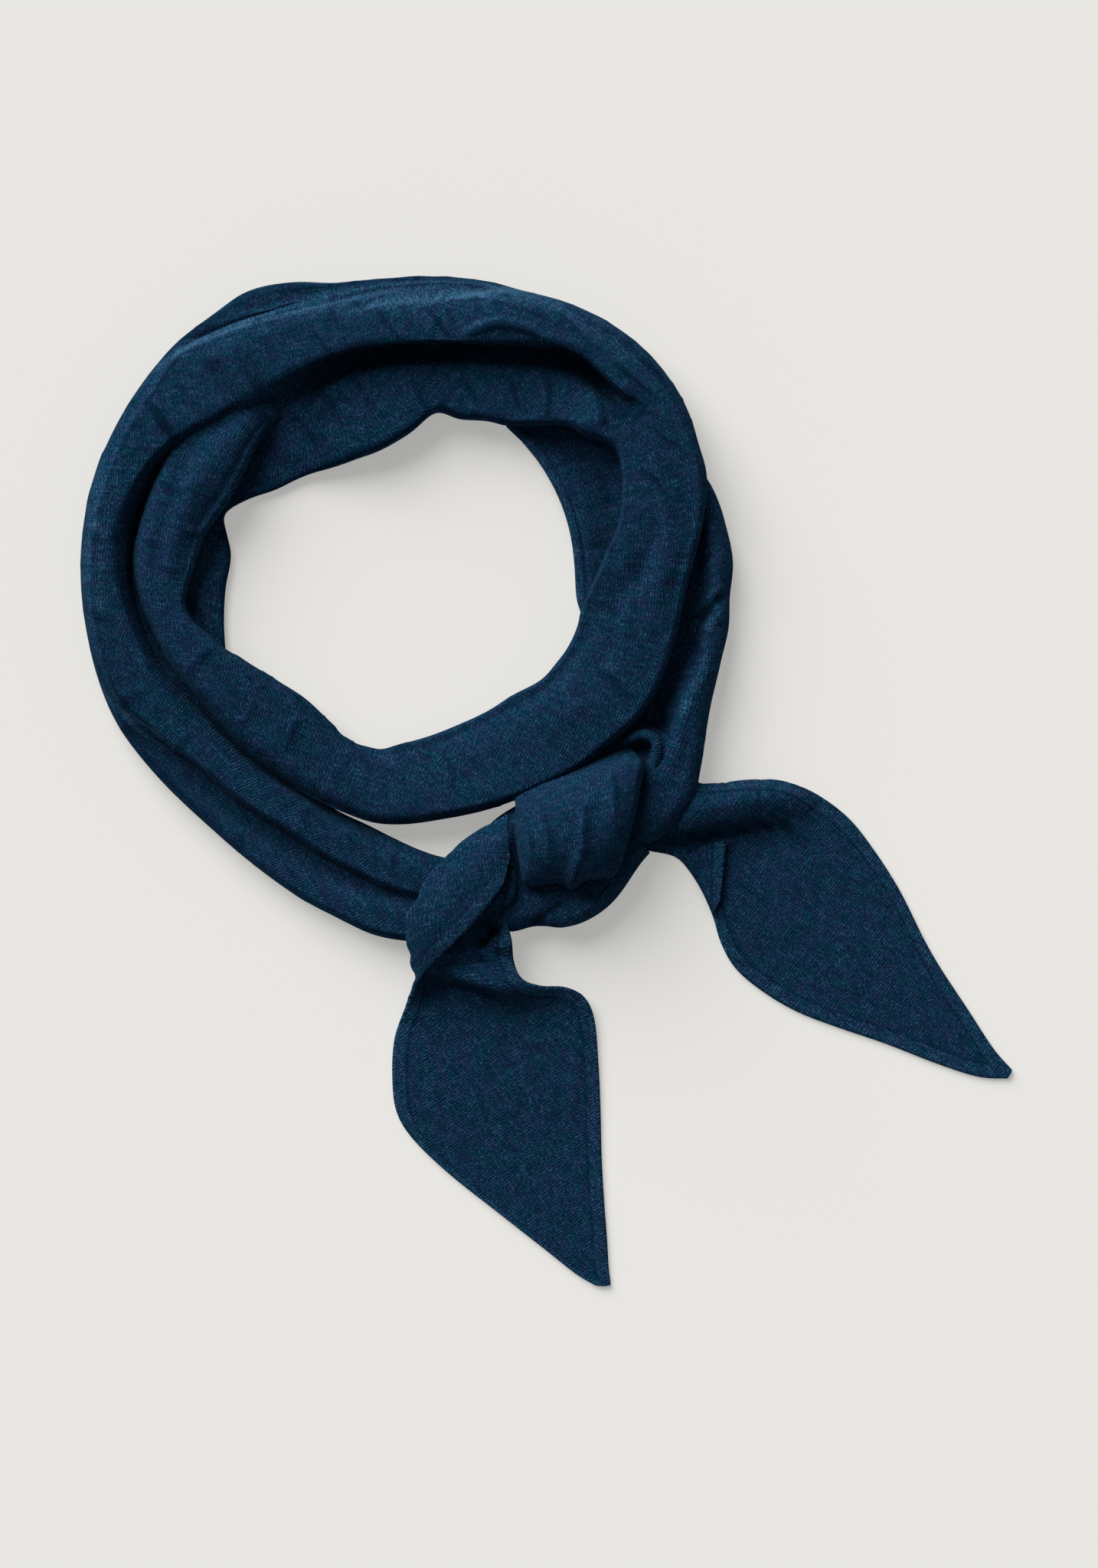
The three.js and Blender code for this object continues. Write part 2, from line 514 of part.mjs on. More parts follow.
// Left tail, at the knot: its front hem crosses over the fold at the left, and the back of the
// strip lies under it, with a hollow between them.
const LEFT_TAIL_FOLDED = table("frontHem front fold back backHem", [
  [[35.3, -93.5, 20.5], [34.6, -86, 21], [34.8, -79.6, 17.5], [34.4, -88, 14.2], [36.3, -98.5, 16.5]],
  [[33.2, -101.2, 21], [27, -92, 21.5], [24.4, -85, 17], [30, -95, 14], [37.0, -104.6, 15.6]],
  [[28.6, -107.9, 21], [19.5, -99.5, 21], [14.3, -93.4, 16.8], [24, -103, 13.8], [34.4, -108.8, 14.6]],
  [[22.1, -115.7, 20], [13, -108, 20.5], [6.5, -102.4, 16.8], [18, -110, 13.6], [31.2, -112.6, 13]],
  [[14.3, -123.5, 18], [6.5, -117, 19], [0.5, -113.4, 15.8], [15, -117, 11.5], [33.2, -115.6, 10]],
  [[8.8, -129, 14], [4, -125, 15], [0.7, -122, 12], [16, -122.5, 7.5], [35.3, -121.5, 8]],
  [[5, -133.5, 9], [3.4, -131, 9], [2.2, -130, 7], [20, -128, 9.5], [36.1, -129, 9]],
]);
const LEFT_TAIL_OPEN = table("leftHem middle rightHem", [
  [[3.2, -137, 4.2], [24, -132.5, 11], [39, -134.8, 10]],
  [[1.6, -142, 1.8], [24, -138.5, 4], [45, -137.6, 8.5]],
  [[-0.6, -147.5, 1.1], [24, -144, 1.1], [53.4, -138, 6]],
  [[-2.8, -153.5, 1], [28, -149.5, 1], [59.6, -140.8, 4.2]],
  [[-3.7, -159.5, 1], [30, -157, 1.4], [63, -147, 2.6]],
  [[-3.9, -168.5, 1], [30, -168, 2], [64.6, -162, 1.6]],
  [[-2.8, -179, 1], [31, -180.5, 1.8], [65.4, -179, 1.2]],
  [[1.2, -187, 1], [34, -192.5, 1.4], [65.8, -196, 1.2]],
  [[13, -199.2, 1], [41, -205.5, 1.2], [66.7, -211, 1]],
  [[30.4, -213.2, 1], [50, -219, 1], [67.7, -224, 1]],
  [[48, -227, 1], [59, -230.5, 1], [68.2, -232.8, 1]],
  [[59, -235.6, 1], [64.4, -236.7, 1], [68.7, -237, 1]],
  [[65, -239, 1], [67, -239.2, 1], [68.8, -239, 1]],
]);

// Right tail: the strip's upper part stands up in a rolled pleat that dies out along the leaf.
const RIGHT_TAIL_PLEATED = table("upper crest lip foot middle lower", [
  [[99.6, -69.2, 7], [99.7, -75.4, 12.5], [93.2, -83.6, 9], [91.4, -85.8, 3], [88.6, -88.8, 1.8],
    [84.6, -91.3, 1]],
  [[102.4, -69.4, 7], [102, -75.8, 12.3], [98, -83.4, 9], [97.4, -85.4, 2.4], [94.6, -89.4, 1.2],
    [92.2, -93, 1]],
  [[106.6, -69.1, 6.5], [106, -75, 12], [103.8, -82.4, 8.5], [103.4, -84.6, 2], [101, -92, 1],
    [97.4, -98.8, 1]],
  [[115, -68, 6], [114.5, -74, 11], [113.5, -81, 8], [113.3, -83.2, 1.8], [108, -95, 1.2],
    [102, -106.8, 1]],
  [[123.5, -67.7, 5.5], [123.2, -73, 9.5], [122, -80, 6.5], [122, -82, 1.8], [114.5, -99, 1.4],
    [105, -114.2, 1]],
  [[131.2, -69.2, 4.5], [130.6, -74.4, 7], [129.5, -80.5, 4.5], [129, -83, 2.4], [119.5, -103, 1.6],
    [107.1, -121.4, 1]],
]);
const RIGHT_TAIL_LEAF = table("upper middle lower", [
  [[140.4, -73.5, 3], [126, -106, 1.8], [111.9, -130.3, 1]],
  [[150.3, -81.2, 1.8], [135, -110.5, 1.9], [121, -138.2, 1]],
  [[158.7, -91.8, 1.2], [145, -119.5, 1.8], [132.7, -145.2, 1]],
  [[167.4, -105.4, 1], [157, -129, 1.6], [147.2, -150.8, 1]],
  [[178, -126.5, 1], [170.5, -142.5, 1.3], [162.6, -156, 1]],
  [[191, -146.6, 1], [186, -156, 1], [182.2, -163.6, 1]],
  [[199.8, -160, 1], [197.6, -164.2, 1], [195.8, -167.7, 1]],
  [[205.6, -166.4, 1], [205.3, -167.2, 1], [204.7, -168.1, 1]],
]);

// The strip's lower edge, turned over onto the leaf beside the knot: its fold and its hem.
const TURNED_EDGE = table("fold middle hem", [
  [[94.4, -92.2, 3.5], [101.5, -89.6, 4], [108, -87.4, 4.6]],
  [[97.9, -99, 3.4], [103, -96, 3.6], [107.7, -93.5, 4.1]],
  [[101.5, -106, 3.4], [104.4, -103.4, 3.5], [107.1, -101, 3.8]],
  [[104.1, -112, 3.4], [105.3, -110.2, 3.4], [106.4, -108.5, 3.6]],
]);
const TURNED_WALL = 1.8;

const spanPoints = (row) => Object.values(row).map((point) => new THREE.Vector3(...point));

// A wall of cloth through rows of points, lifted clear of what it lies on, its underside flat
// on the table where it is low.
function clothWall(rows, across, perRow, wall, lies) {
  const lines = rows.map((row) => {
    const curve = new THREE.CatmullRomCurve3(spanPoints(row), false, "centripetal");
    return curve.getSpacedPoints(across);
  });
  const along = (rows.length - 1) * perRow;
  const columns = Array.from({ length: across + 1 }, (_, j) => {
    const curve = new THREE.CatmullRomCurve3(lines.map((points) => points[j]), false, "centripetal");
    return Array.from({ length: along + 1 }, (_, i) => curve.getPoint(i / along));
  });
  for (const point of columns.flat()) {
    const least = lies ? stackHeight(point.x, point.y) : 0;
    point.z = Math.max(point.z, least + wall / 2);
  }
  const sides = [wall / 2, -wall / 2].map((offset) =>
    columns.map((column, j) =>
      column.map((point, i) => {
        const onward = column[Math.min(i + 1, along)].clone().sub(column[Math.max(i - 1, 0)]);
        const [before, after] = [columns[Math.max(j - 1, 0)], columns[Math.min(j + 1, across)]];
        const sideways = after[i].clone().sub(before[i]);
        const moved = sideways.cross(onward).normalize().multiplyScalar(offset).add(point);
        return [moved.x, moved.y, Math.max(moved.z, 0)];
      }),
    ),
  );
  const rings = Array.from({ length: along + 1 }, (_, i) => [
    ...sides[0].map((column) => column[i]),
    ...sides[1].map((column) => column[i]).reverse(),
  ]);
  return loftRings(rings, null);
}

const underTurnAtTop = turnedBack(UNDER_TURN);
addStrand("first_turn_left", FIRST_TURN_LEFT);
addStrand("first_turn_top", FIRST_TURN_TOP, [underTurnAtTop]);
addStrand("under_turn", UNDER_TURN);
addStrand("front_turn_right", FRONT_TURN_RIGHT, [UNDER_TURN]);
addStrand("front_turn_bottom", FRONT_TURN_BOTTOM, [FIRST_TURN_LEFT]);
addStrand("front_turn_left", FRONT_TURN_LEFT, [FIRST_TURN_LEFT, FIRST_TURN_TOP]);
addStrand("knot_under", KNOT_UNDER);
addKnotBand();
addKnotLoop();
addMesh("left_tail", clothWall([...LEFT_TAIL_FOLDED, ...LEFT_TAIL_OPEN], 16, 2, CLOTH_WALL, true));
addMesh(
  "right_tail",
  clothWall([...RIGHT_TAIL_PLEATED, ...RIGHT_TAIL_LEAF], 16, 2, CLOTH_WALL, false),
);
addMesh("right_tail_turned_edge", clothWall(TURNED_EDGE, 6, 2, TURNED_WALL, false));

// The part's origin is the middle of its box, on the table.
const size = new THREE.Box3().setFromObject(scarf);
const middle = size.getCenter(new THREE.Vector3());
scarf.position.set(-middle.x, -middle.y, -size.min.z);

export default scarf;
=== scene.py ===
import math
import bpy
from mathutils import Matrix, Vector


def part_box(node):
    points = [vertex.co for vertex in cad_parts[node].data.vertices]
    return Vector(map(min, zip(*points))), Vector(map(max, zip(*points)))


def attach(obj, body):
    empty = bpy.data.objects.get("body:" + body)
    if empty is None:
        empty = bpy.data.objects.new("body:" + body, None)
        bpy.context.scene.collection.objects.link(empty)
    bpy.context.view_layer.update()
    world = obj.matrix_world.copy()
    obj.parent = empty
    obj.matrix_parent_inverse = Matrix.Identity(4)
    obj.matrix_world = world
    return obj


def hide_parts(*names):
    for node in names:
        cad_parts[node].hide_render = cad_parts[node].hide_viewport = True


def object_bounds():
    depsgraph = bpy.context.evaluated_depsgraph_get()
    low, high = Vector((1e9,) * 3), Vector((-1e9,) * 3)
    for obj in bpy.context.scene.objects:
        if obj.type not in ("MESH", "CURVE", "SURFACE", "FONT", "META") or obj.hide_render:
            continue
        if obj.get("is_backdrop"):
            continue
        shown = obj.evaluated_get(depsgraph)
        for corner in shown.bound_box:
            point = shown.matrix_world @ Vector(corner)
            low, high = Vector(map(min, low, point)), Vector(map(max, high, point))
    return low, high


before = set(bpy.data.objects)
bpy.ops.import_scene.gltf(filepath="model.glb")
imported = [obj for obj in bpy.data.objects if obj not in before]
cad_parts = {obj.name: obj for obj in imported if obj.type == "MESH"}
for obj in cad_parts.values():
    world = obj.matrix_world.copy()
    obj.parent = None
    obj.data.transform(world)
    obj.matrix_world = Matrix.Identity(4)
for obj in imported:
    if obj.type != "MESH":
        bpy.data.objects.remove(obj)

# A narrow wool scarf, wound twice into a loop, tied at its lower right and laid flat. The CAD
# solids have the same places and sections; here each is a thin knitted shell with its folds,
# creases, hems and stitches. Lengths are in millimetres, measured from the middle of the neck
# opening, until a mesh is made.
from copy import copy
from dataclasses import dataclass

import bpy
import numpy as np

cad_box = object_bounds()

# ---- driving dimensions ----
MM = 0.001
REACH_LEFT = 109.9  # from the neck opening's middle to the first turn's left side
REACH_DOWN = 239.24  # and to the tip of the left tail
LEFT_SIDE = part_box("first_turn_left")[0][0] / MM
LOWEST_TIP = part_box("left_tail")[0][1] / MM
MIDDLE = np.array([LEFT_SIDE + REACH_LEFT, LOWEST_TIP + REACH_DOWN, 0.0])

WALL = 0.8  # the knitted cloth in the loop
TAIL_WALL = 1.1  # and in the two tails
HEM_WIDTH = 4.2
HEM_EXTRA = 0.35  # how much thicker a hem is
HEM_FADE = 0.5  # its thickness fades over this distance to either side of its width
LAYER_GAP = 0.5  # between a stretch and the one it lies on
LEAST_LAYER = 2.0  # the thinnest that a stretch gets where it lies on another
FOLD_ROUNDING = 5.5  # how far in from its edge a rolled fold has risen fully
CURL = 2.6  # how far a fold's foot stands in from its widest place
NARROW = 5  # but no further than the section's width divided by this
RAMP = 4  # over this width, or so many degrees at an end, an underside climbs onto another
EDGE_MARGIN = 2.5  # how far outside the lower stretch's edge that climb is done
STACK_REACH = 2.5  # the knot's pieces clear everything within this distance
LEAST_GAP = 0.4  # between one of a section's lines and the next
LIP_CLEAR = 0.5  # a groove's undercut ends this far below its lip, and this far outside it
LEAST_HOLLOW = 0.1  # between the two sides of a shell's inside

STATION_DEGREES = 0.8  # between two sections of the loop
TOP_POINTS = 100  # points over a section's upper side
FOOT_POINTS = 6  # down each of its rolled sides
UNDER_POINTS = 12  # across its underside
EDGE_POINTS = 6  # so many points in from each edge the creases have their full height
RINGS_BLUR = 1.6  # over how many sections a strand is smoothed along its length
PROUD_REACH = 3  # how many points away a place's neighbours are taken
ALIKE_ROWS = 12  # over this many sections to each side, their points are spaced alike
GROOVE_WEIGHT = 0.2  # how much of a groove's depth counts in the spacing of the knit
GROOVE_CLEAR = 8  # nearer than this to either edge it counts fully
NO_HEM = 99.0  # a place that is far from every hem
FINE_POINTS = 480  # where a section's height is worked out before its points are spaced
LINING_ROWS = 5  # a shell's inside has a section for every so many outside
LINING_POINTS = 18
RIM_POINTS = 3  # round each edge of a tail's cloth
LINING_STEP = 3.0  # between the knit's coordinates at two points of the inside
STRAND_WINDOW = 1.3  # a point of the inside keeps clear of this many of its widths each way
BAND_WINDOW = 0.75
NOISE_CELLS = 64

BROAD_RISE = 0.34  # how high the cloth's uneven waves are
MIDDLE_RISE = 0.16
PINCH_DEPTH = 0.3
ROUTE_POINTS = 8  # a crease's route is followed in so many steps for each of its places
CREASE_REACH = 4  # how many widths away a crease still counts
CREASE_END = 0.02  # the share of its route, at each end, where a crease is lowest

FOOT_TURN = np.linspace(0, math.pi / 2, FOOT_POINTS + 1)[1:]
FINE_SHARES = (1 - np.cos(np.pi * np.linspace(0, 1, FINE_POINTS))) / 2  # closer at the edges

# ---- smooth curves ----


def smoothstep(t):
    k = np.clip(t, 0, 1)
    return k * k * (3 - 2 * k)


def smooth(at, xs, ys):
    """A smooth curve through points, level before the first and after the last."""
    before = np.maximum(np.arange(len(xs)) - 1, 0)
    after = np.minimum(np.arange(len(xs)) + 1, len(xs) - 1)
    slope = (ys[after] - ys[before]) / (xs[after] - xs[before])
    at = np.clip(at, xs[0], xs[-1])
    i = np.clip(np.searchsorted(xs, at, side="right") - 1, 0, len(xs) - 2)
    span = xs[i + 1] - xs[i]
    t = (at - xs[i]) / span
    rise = t * (1 - t) ** 2 * slope[i] - t * t * (1 - t) * slope[i + 1]
    return ys[i] + (ys[i + 1] - ys[i]) * smoothstep(t) + rise * span


def smooth_monotone(at, xs, ys):
    """A smooth curve through knots that never rises above a crest or dips below a valley."""
    rate = np.diff(ys, axis=0) / np.diff(xs, axis=0)
    a, b = rate[:-1], rate[1:]
    turning = a * b <= 0
    tangent = np.where(turning, 0, 2 * a * b / np.where(turning, 1, a + b))
    level = np.zeros_like(rate[:1])
    tangent = np.concatenate([level, tangent, level])
    value = ys[0] + 0 * at
    for i in range(len(xs) - 1):
        span = xs[i + 1] - xs[i]
        t = np.clip((at - xs[i]) / span, 0, 1)
        rise = t * (1 - t) ** 2 * tangent[i] - t * t * (1 - t) * tangent[i + 1]
        here = ys[i] + (ys[i + 1] - ys[i]) * smoothstep(t) + rise * span
        value = np.where(at >= xs[i], here, value)
    return value


def through(points, shares):
    """Places at the given shares of a smooth curve through points, which are its first axis."""
    points = np.asarray(points, float)
    padded = np.concatenate([[2 * points[0] - points[1]], points, [2 * points[-1] - points[-2]]])
    steps = np.asarray(shares) * (len(points) - 1)
    i = np.clip(np.floor(steps).astype(int), 0, len(points) - 2)
    t = (steps - i).reshape((-1,) + (1,) * (points.ndim - 1))
    p0, p1, p2, p3 = (padded[i + k] for k in range(4))
    gap = lambda a, b: np.maximum(np.sqrt(np.linalg.norm(b - a, axis=-1, keepdims=True)), 1e-3)
    d0, d1, d2 = gap(p0, p1), gap(p1, p2), gap(p2, p3)
    m1 = ((p1 - p0) / d0 - (p2 - p0) / (d0 + d1) + (p2 - p1) / d1) * d1
    m2 = ((p2 - p1) / d1 - (p3 - p1) / (d1 + d2) + (p3 - p2) / d2) * d1
    square, cube = t * t, t * t * t
    return (
        (2 * cube - 3 * square + 1) * p1 + (cube - 2 * square + t) * m1
        + (3 * square - 2 * cube) * p2 + (cube - square) * m2
    )


def lengths_along(points):
    """How far along a line of points each one is."""
    steps = np.linalg.norm(np.diff(points, axis=0), axis=-1)
    return np.concatenate([np.zeros_like(steps[:1]), np.cumsum(steps, axis=0)])


def lengths_across(grid):
    """The same along each row of a grid of points."""
    return lengths_along(grid.transpose(1, 0, 2)).T


def spaced(points, count):
    """The same line through evenly spaced points."""
    along = lengths_along(points)
    wanted = np.linspace(0, along[-1], count)
    return np.stack([np.interp(wanted, along, column) for column in points.T], axis=-1)


def blurred(grid, width):
    """A grid of points, smoothed along its first axis over a width in rows."""
    reach = int(math.ceil(3 * width))
    weights = np.exp(-0.5 * (np.arange(-reach, reach + 1) / width) ** 2)
    weights /= weights.sum()
    first = 2 * grid[:1] - grid[reach:0:-1]
    last = 2 * grid[-1:] - grid[-2 : -reach - 2 : -1]
    padded = np.concatenate([first, grid, last])
    return sum(w * padded[k : k + len(grid)] for k, w in enumerate(weights))


def soft_noise(x, y, seed):
    """Smooth uneven bumps from -1 to 1 over a plane, about one a unit."""
    lattice = np.random.default_rng(seed).uniform(-1, 1, (NOISE_CELLS, NOISE_CELLS))
    column, row = np.floor(x).astype(int), np.floor(y).astype(int)
    s, t = smoothstep(x - column), smoothstep(y - row)
    corner = lambda dx, dy: lattice[(column + dx) % NOISE_CELLS, (row + dy) % NOISE_CELLS]
    low = corner(0, 0) * (1 - s) + corner(1, 0) * s
    high = corner(0, 1) * (1 - s) + corner(1, 1) * s
    return low * (1 - t) + high * t


# ---- the loop's stretches ----
# A line runs along the loop: an edge, a crest or a valley, as (angle, radius, height) rows.
# Angles are in degrees from +X, anticlockwise, and run past 360 where a stretch passes +X.


def line(rows):
    """A function that gives the line's radius and height at an angle."""
    angles, *columns = np.array(rows, float).T
    return lambda angle: [smooth(angle, angles, column) for column in columns]


@dataclass
class Strand:
    """A stretch of the loop, its lines listed from the outer edge to the inner edge."""

    start: float
    end: float
    outer: list
    lines: list
    inner: list
    # how far in from each edge it has risen fully, as (angle, distance) pairs
    out_rounding: tuple = ((0, FOLD_ROUNDING),)
    in_rounding: tuple = ((0, FOLD_ROUNDING),)
    # the line that is a groove's bottom, and how far the groove goes in under the lip outside it
    groove: int = None
    undercut: tuple = ((0, 0),)

    def __post_init__(self):
        self.outer, self.inner = line(self.outer), line(self.inner)
        self.lines = [line(rows) for rows in self.lines]

    def knots(self, angle):
        """The radius and height of every line at the angles, from the inner edge outwards."""
        each = [line_at(angle) for line_at in [self.inner, *self.lines[::-1], self.outer]]
        radii = np.array([radius for radius, _ in each])
        heights = np.array([height for _, height in each])
        heights[0], heights[-1] = heights[1], heights[-2]
        for i in range(1, len(radii)):
            radii[i] = np.maximum(radii[i], radii[i - 1] + LEAST_GAP)
        return radii, heights

    def edges(self, angle):
        (inner, inner_height), (outer, outer_height) = self.inner(angle), self.outer(angle)
        return inner, inner_height, outer, outer_height

    def crown(self, angle, radius):
        """The upper side's height, its edges not yet rounded."""
        return smooth_monotone(radius, *self.knots(angle))

    def top(self, angle, radius):
        """The same with its two edges rolled over, down to the height of the edge itself."""
        inner, inner_height, outer, outer_height = self.edges(angle)
        half = (outer - inner) / 2
        rounding = lambda pairs: np.minimum(np.interp(angle, *zip(*pairs)), half)
        out_roll = rolled(outer - radius, rounding(self.out_rounding))
        in_roll = rolled(radius - inner, rounding(self.in_rounding))
        side = np.where(radius > (outer + inner) / 2, outer_height, inner_height)
        return side + (self.crown(angle, radius) - side) * np.minimum(out_roll, in_roll)

    def height_below(self, angle, radius):
        """How high it stands for what lies on it, with a ramp up to it outside its edges."""
        inner, _, outer, _ = self.edges(angle)
        covered = smoothstep((angle - self.start + RAMP) / RAMP)
        covered = covered * smoothstep((self.end + RAMP - angle) / RAMP)
        reach = EDGE_MARGIN + RAMP
        covered = covered * smoothstep((radius - inner + reach) / RAMP)
        covered = covered * smoothstep((outer + reach - radius) / RAMP)
        inside = np.clip(radius, inner + FOLD_ROUNDING / 2, outer - FOLD_ROUNDING / 2)
        return self.crown(angle, inside) * covered

    def deepened(self, angle, radius, top):
        """How far out each place of a section moves, so that its groove runs in under the lip."""
        if self.groove is None:
            return 0 * radius
        lip, bottom, shoulder = (self.lines[self.groove + k](angle) for k in (-1, 0, 2))
        near = smoothstep((radius - shoulder[0]) / (bottom[0] - shoulder[0]))
        below = 1 - smoothstep((top - bottom[1]) / np.maximum(lip[1] - LIP_CLEAR - bottom[1], 1))
        within = radius < lip[0] + LIP_CLEAR
        return np.interp(angle, *zip(*self.undercut)) * near * below * within

    def turned_back(self):
        """The same stretch for angles one full turn lower."""
        back = lambda line_at: lambda angle: line_at(angle + 360)
        lower = lambda pairs: tuple((angle - 360, width) for angle, width in pairs)
        turned = copy(self)
        turned.start, turned.end = self.start - 360, self.end - 360
        turned.outer, turned.inner = back(self.outer), back(self.inner)
        turned.lines = [back(each) for each in self.lines]
        turned.out_rounding = lower(self.out_rounding)
        turned.in_rounding = lower(self.in_rounding)
        return turned


def rolled(inside, rounding):
    """How much of its full height a fold has at a distance in from its edge."""
    t = 1 - np.clip(inside / rounding, 0, 1)
    return np.sqrt(1 - t * t)


# First turn, left: from the knot up the left side. Two pleats lie along its outer side, and
# inside them a low shelf carries the second turn.
FIRST_TURN_LEFT = Strand(
    start=134, end=283,
    outer=[
        (134, 112, 6), (145, 111.5, 6), (160, 111, 6), (177, 110.1, 6), (190, 109.4, 5),
        (205, 109.2, 4), (217, 107.2, 4), (225, 106.4, 4), (232, 106.6, 4), (240, 108.4, 4),
        (246, 110.6, 4), (253, 113.8, 4), (259, 116.6, 4), (264.5, 120.2, 4), (270, 121.9, 4),
        (283, 124, 4),
    ],
    lines=[
        # the lower pleat's crest, and the valley inside it
        [(134, 110.4, 9), (150, 107.6, 14.6), (180, 106.8, 15.4), (193, 107, 14), (199, 107.4, 11.5),
         (203, 107.2, 9.5), (210, 106, 9), (215, 105.2, 9), (230, 103.8, 9.5), (245, 104.6, 10),
         (252, 107.2, 10.5), (260, 110, 11), (268, 113, 11), (283, 117, 10)],
        [(134, 109.4, 9.2), (150, 106.4, 15.8), (180, 105.6, 16.4), (193, 106.2, 15), (199, 106.6, 12),
         (203, 106.4, 8.5), (207, 104.6, 6.5), (210, 102.2, 5), (215, 98.6, 4.5), (222, 95, 4),
         (230, 94.4, 4), (245, 95, 4.2), (252, 97.8, 4.5), (260, 101, 5.5), (268, 106.4, 7.5),
         (283, 114, 10)],
        # the ridge: its outer crest, its inner top and its lip
        [(134, 107.6, 14), (150, 105, 16.5), (165, 104.5, 17), (180, 104, 17), (193, 104.4, 16.5),
         (199, 104.6, 16), (203, 103.8, 15.5), (207, 101.6, 15), (210, 99.2, 15), (215, 96, 15),
         (222, 92.4, 15), (230, 91.8, 15), (240, 91.8, 14.5), (245, 92.4, 14), (252, 95, 13.5),
         (260, 98.4, 13), (268, 103, 12), (283, 110, 10.5)],
        [(134, 83.6, 17), (140, 86, 17), (145, 89.6, 17), (150, 93, 17), (155, 95.4, 17),
         (165, 98.8, 17), (172, 100, 16.8), (180, 97, 16.4), (185, 95, 16), (192, 92.8, 15.5),
         (200, 91, 15.5), (208, 87.8, 15.5), (215, 85.4, 15), (230, 84.2, 14.5), (245, 84.8, 14),
         (252, 87.2, 13.5), (260, 90.4, 13), (268, 95, 12), (283, 104, 11)],
        [(134, 80.2, 13.5), (140, 82.8, 13.5), (145, 86.8, 12.5), (150, 90.4, 12), (155, 92.8, 11),
         (165, 94.4, 10.5), (172, 95, 10.5), (180, 94.4, 11.5), (185, 93.2, 12), (192, 90.8, 12),
         (200, 88.8, 12), (208, 85.2, 11.5), (215, 82.4, 11), (230, 81, 10), (245, 81.6, 9.5),
         (252, 84, 9.5), (260, 87.2, 10), (268, 92.6, 10.5), (283, 102, 10.7)],
        # the groove's bottom, and the shelf
        [(134, 77.4, 6), (140, 80, 5), (145, 84, 4.5), (150, 88.2, 4), (155, 90.8, 3.5), (165, 92, 3.5),
         (172, 92.8, 3.5), (180, 92.2, 3.5), (185, 91.2, 3.5), (192, 89, 3), (200, 86.8, 3),
         (208, 82.8, 3), (215, 80.4, 3), (230, 79.4, 3), (245, 79.8, 3.5), (252, 81.6, 5), (260, 84, 6),
         (268, 89, 9), (283, 99.5, 10.2)],
        [(134, 74, 4.5), (150, 82, 4), (180, 86, 3.5), (205, 80, 3), (215, 77.4, 3), (230, 77, 3),
         (245, 77.4, 3.5), (255, 80, 5), (262, 82.6, 6.5), (283, 98, 10)],
    ],
    inner=[
        (134, 49.5, 2.5), (145, 54, 2.5), (153.4, 61, 2.5), (159.8, 65.6, 2.5), (164, 63.4, 2.5),
        (170, 60.2, 2.5), (175, 59.8, 2.5), (180, 60.7, 2.5), (190, 62.5, 2.5), (200.5, 65.2, 2.5),
        (215, 70, 2.5), (230, 75, 2.5), (245, 78.5, 3), (255, 81.5, 3.5), (261.4, 83.6, 4),
        (268.3, 87.7, 4), (275, 92.6, 4), (283, 97.5, 4),
    ],
    out_rounding=((134, 3), (150, 5.5), (200, 4.5), (215, 2.5), (283, 2.5)),
    in_rounding=((134, 1.3), (283, 1.3)),
)

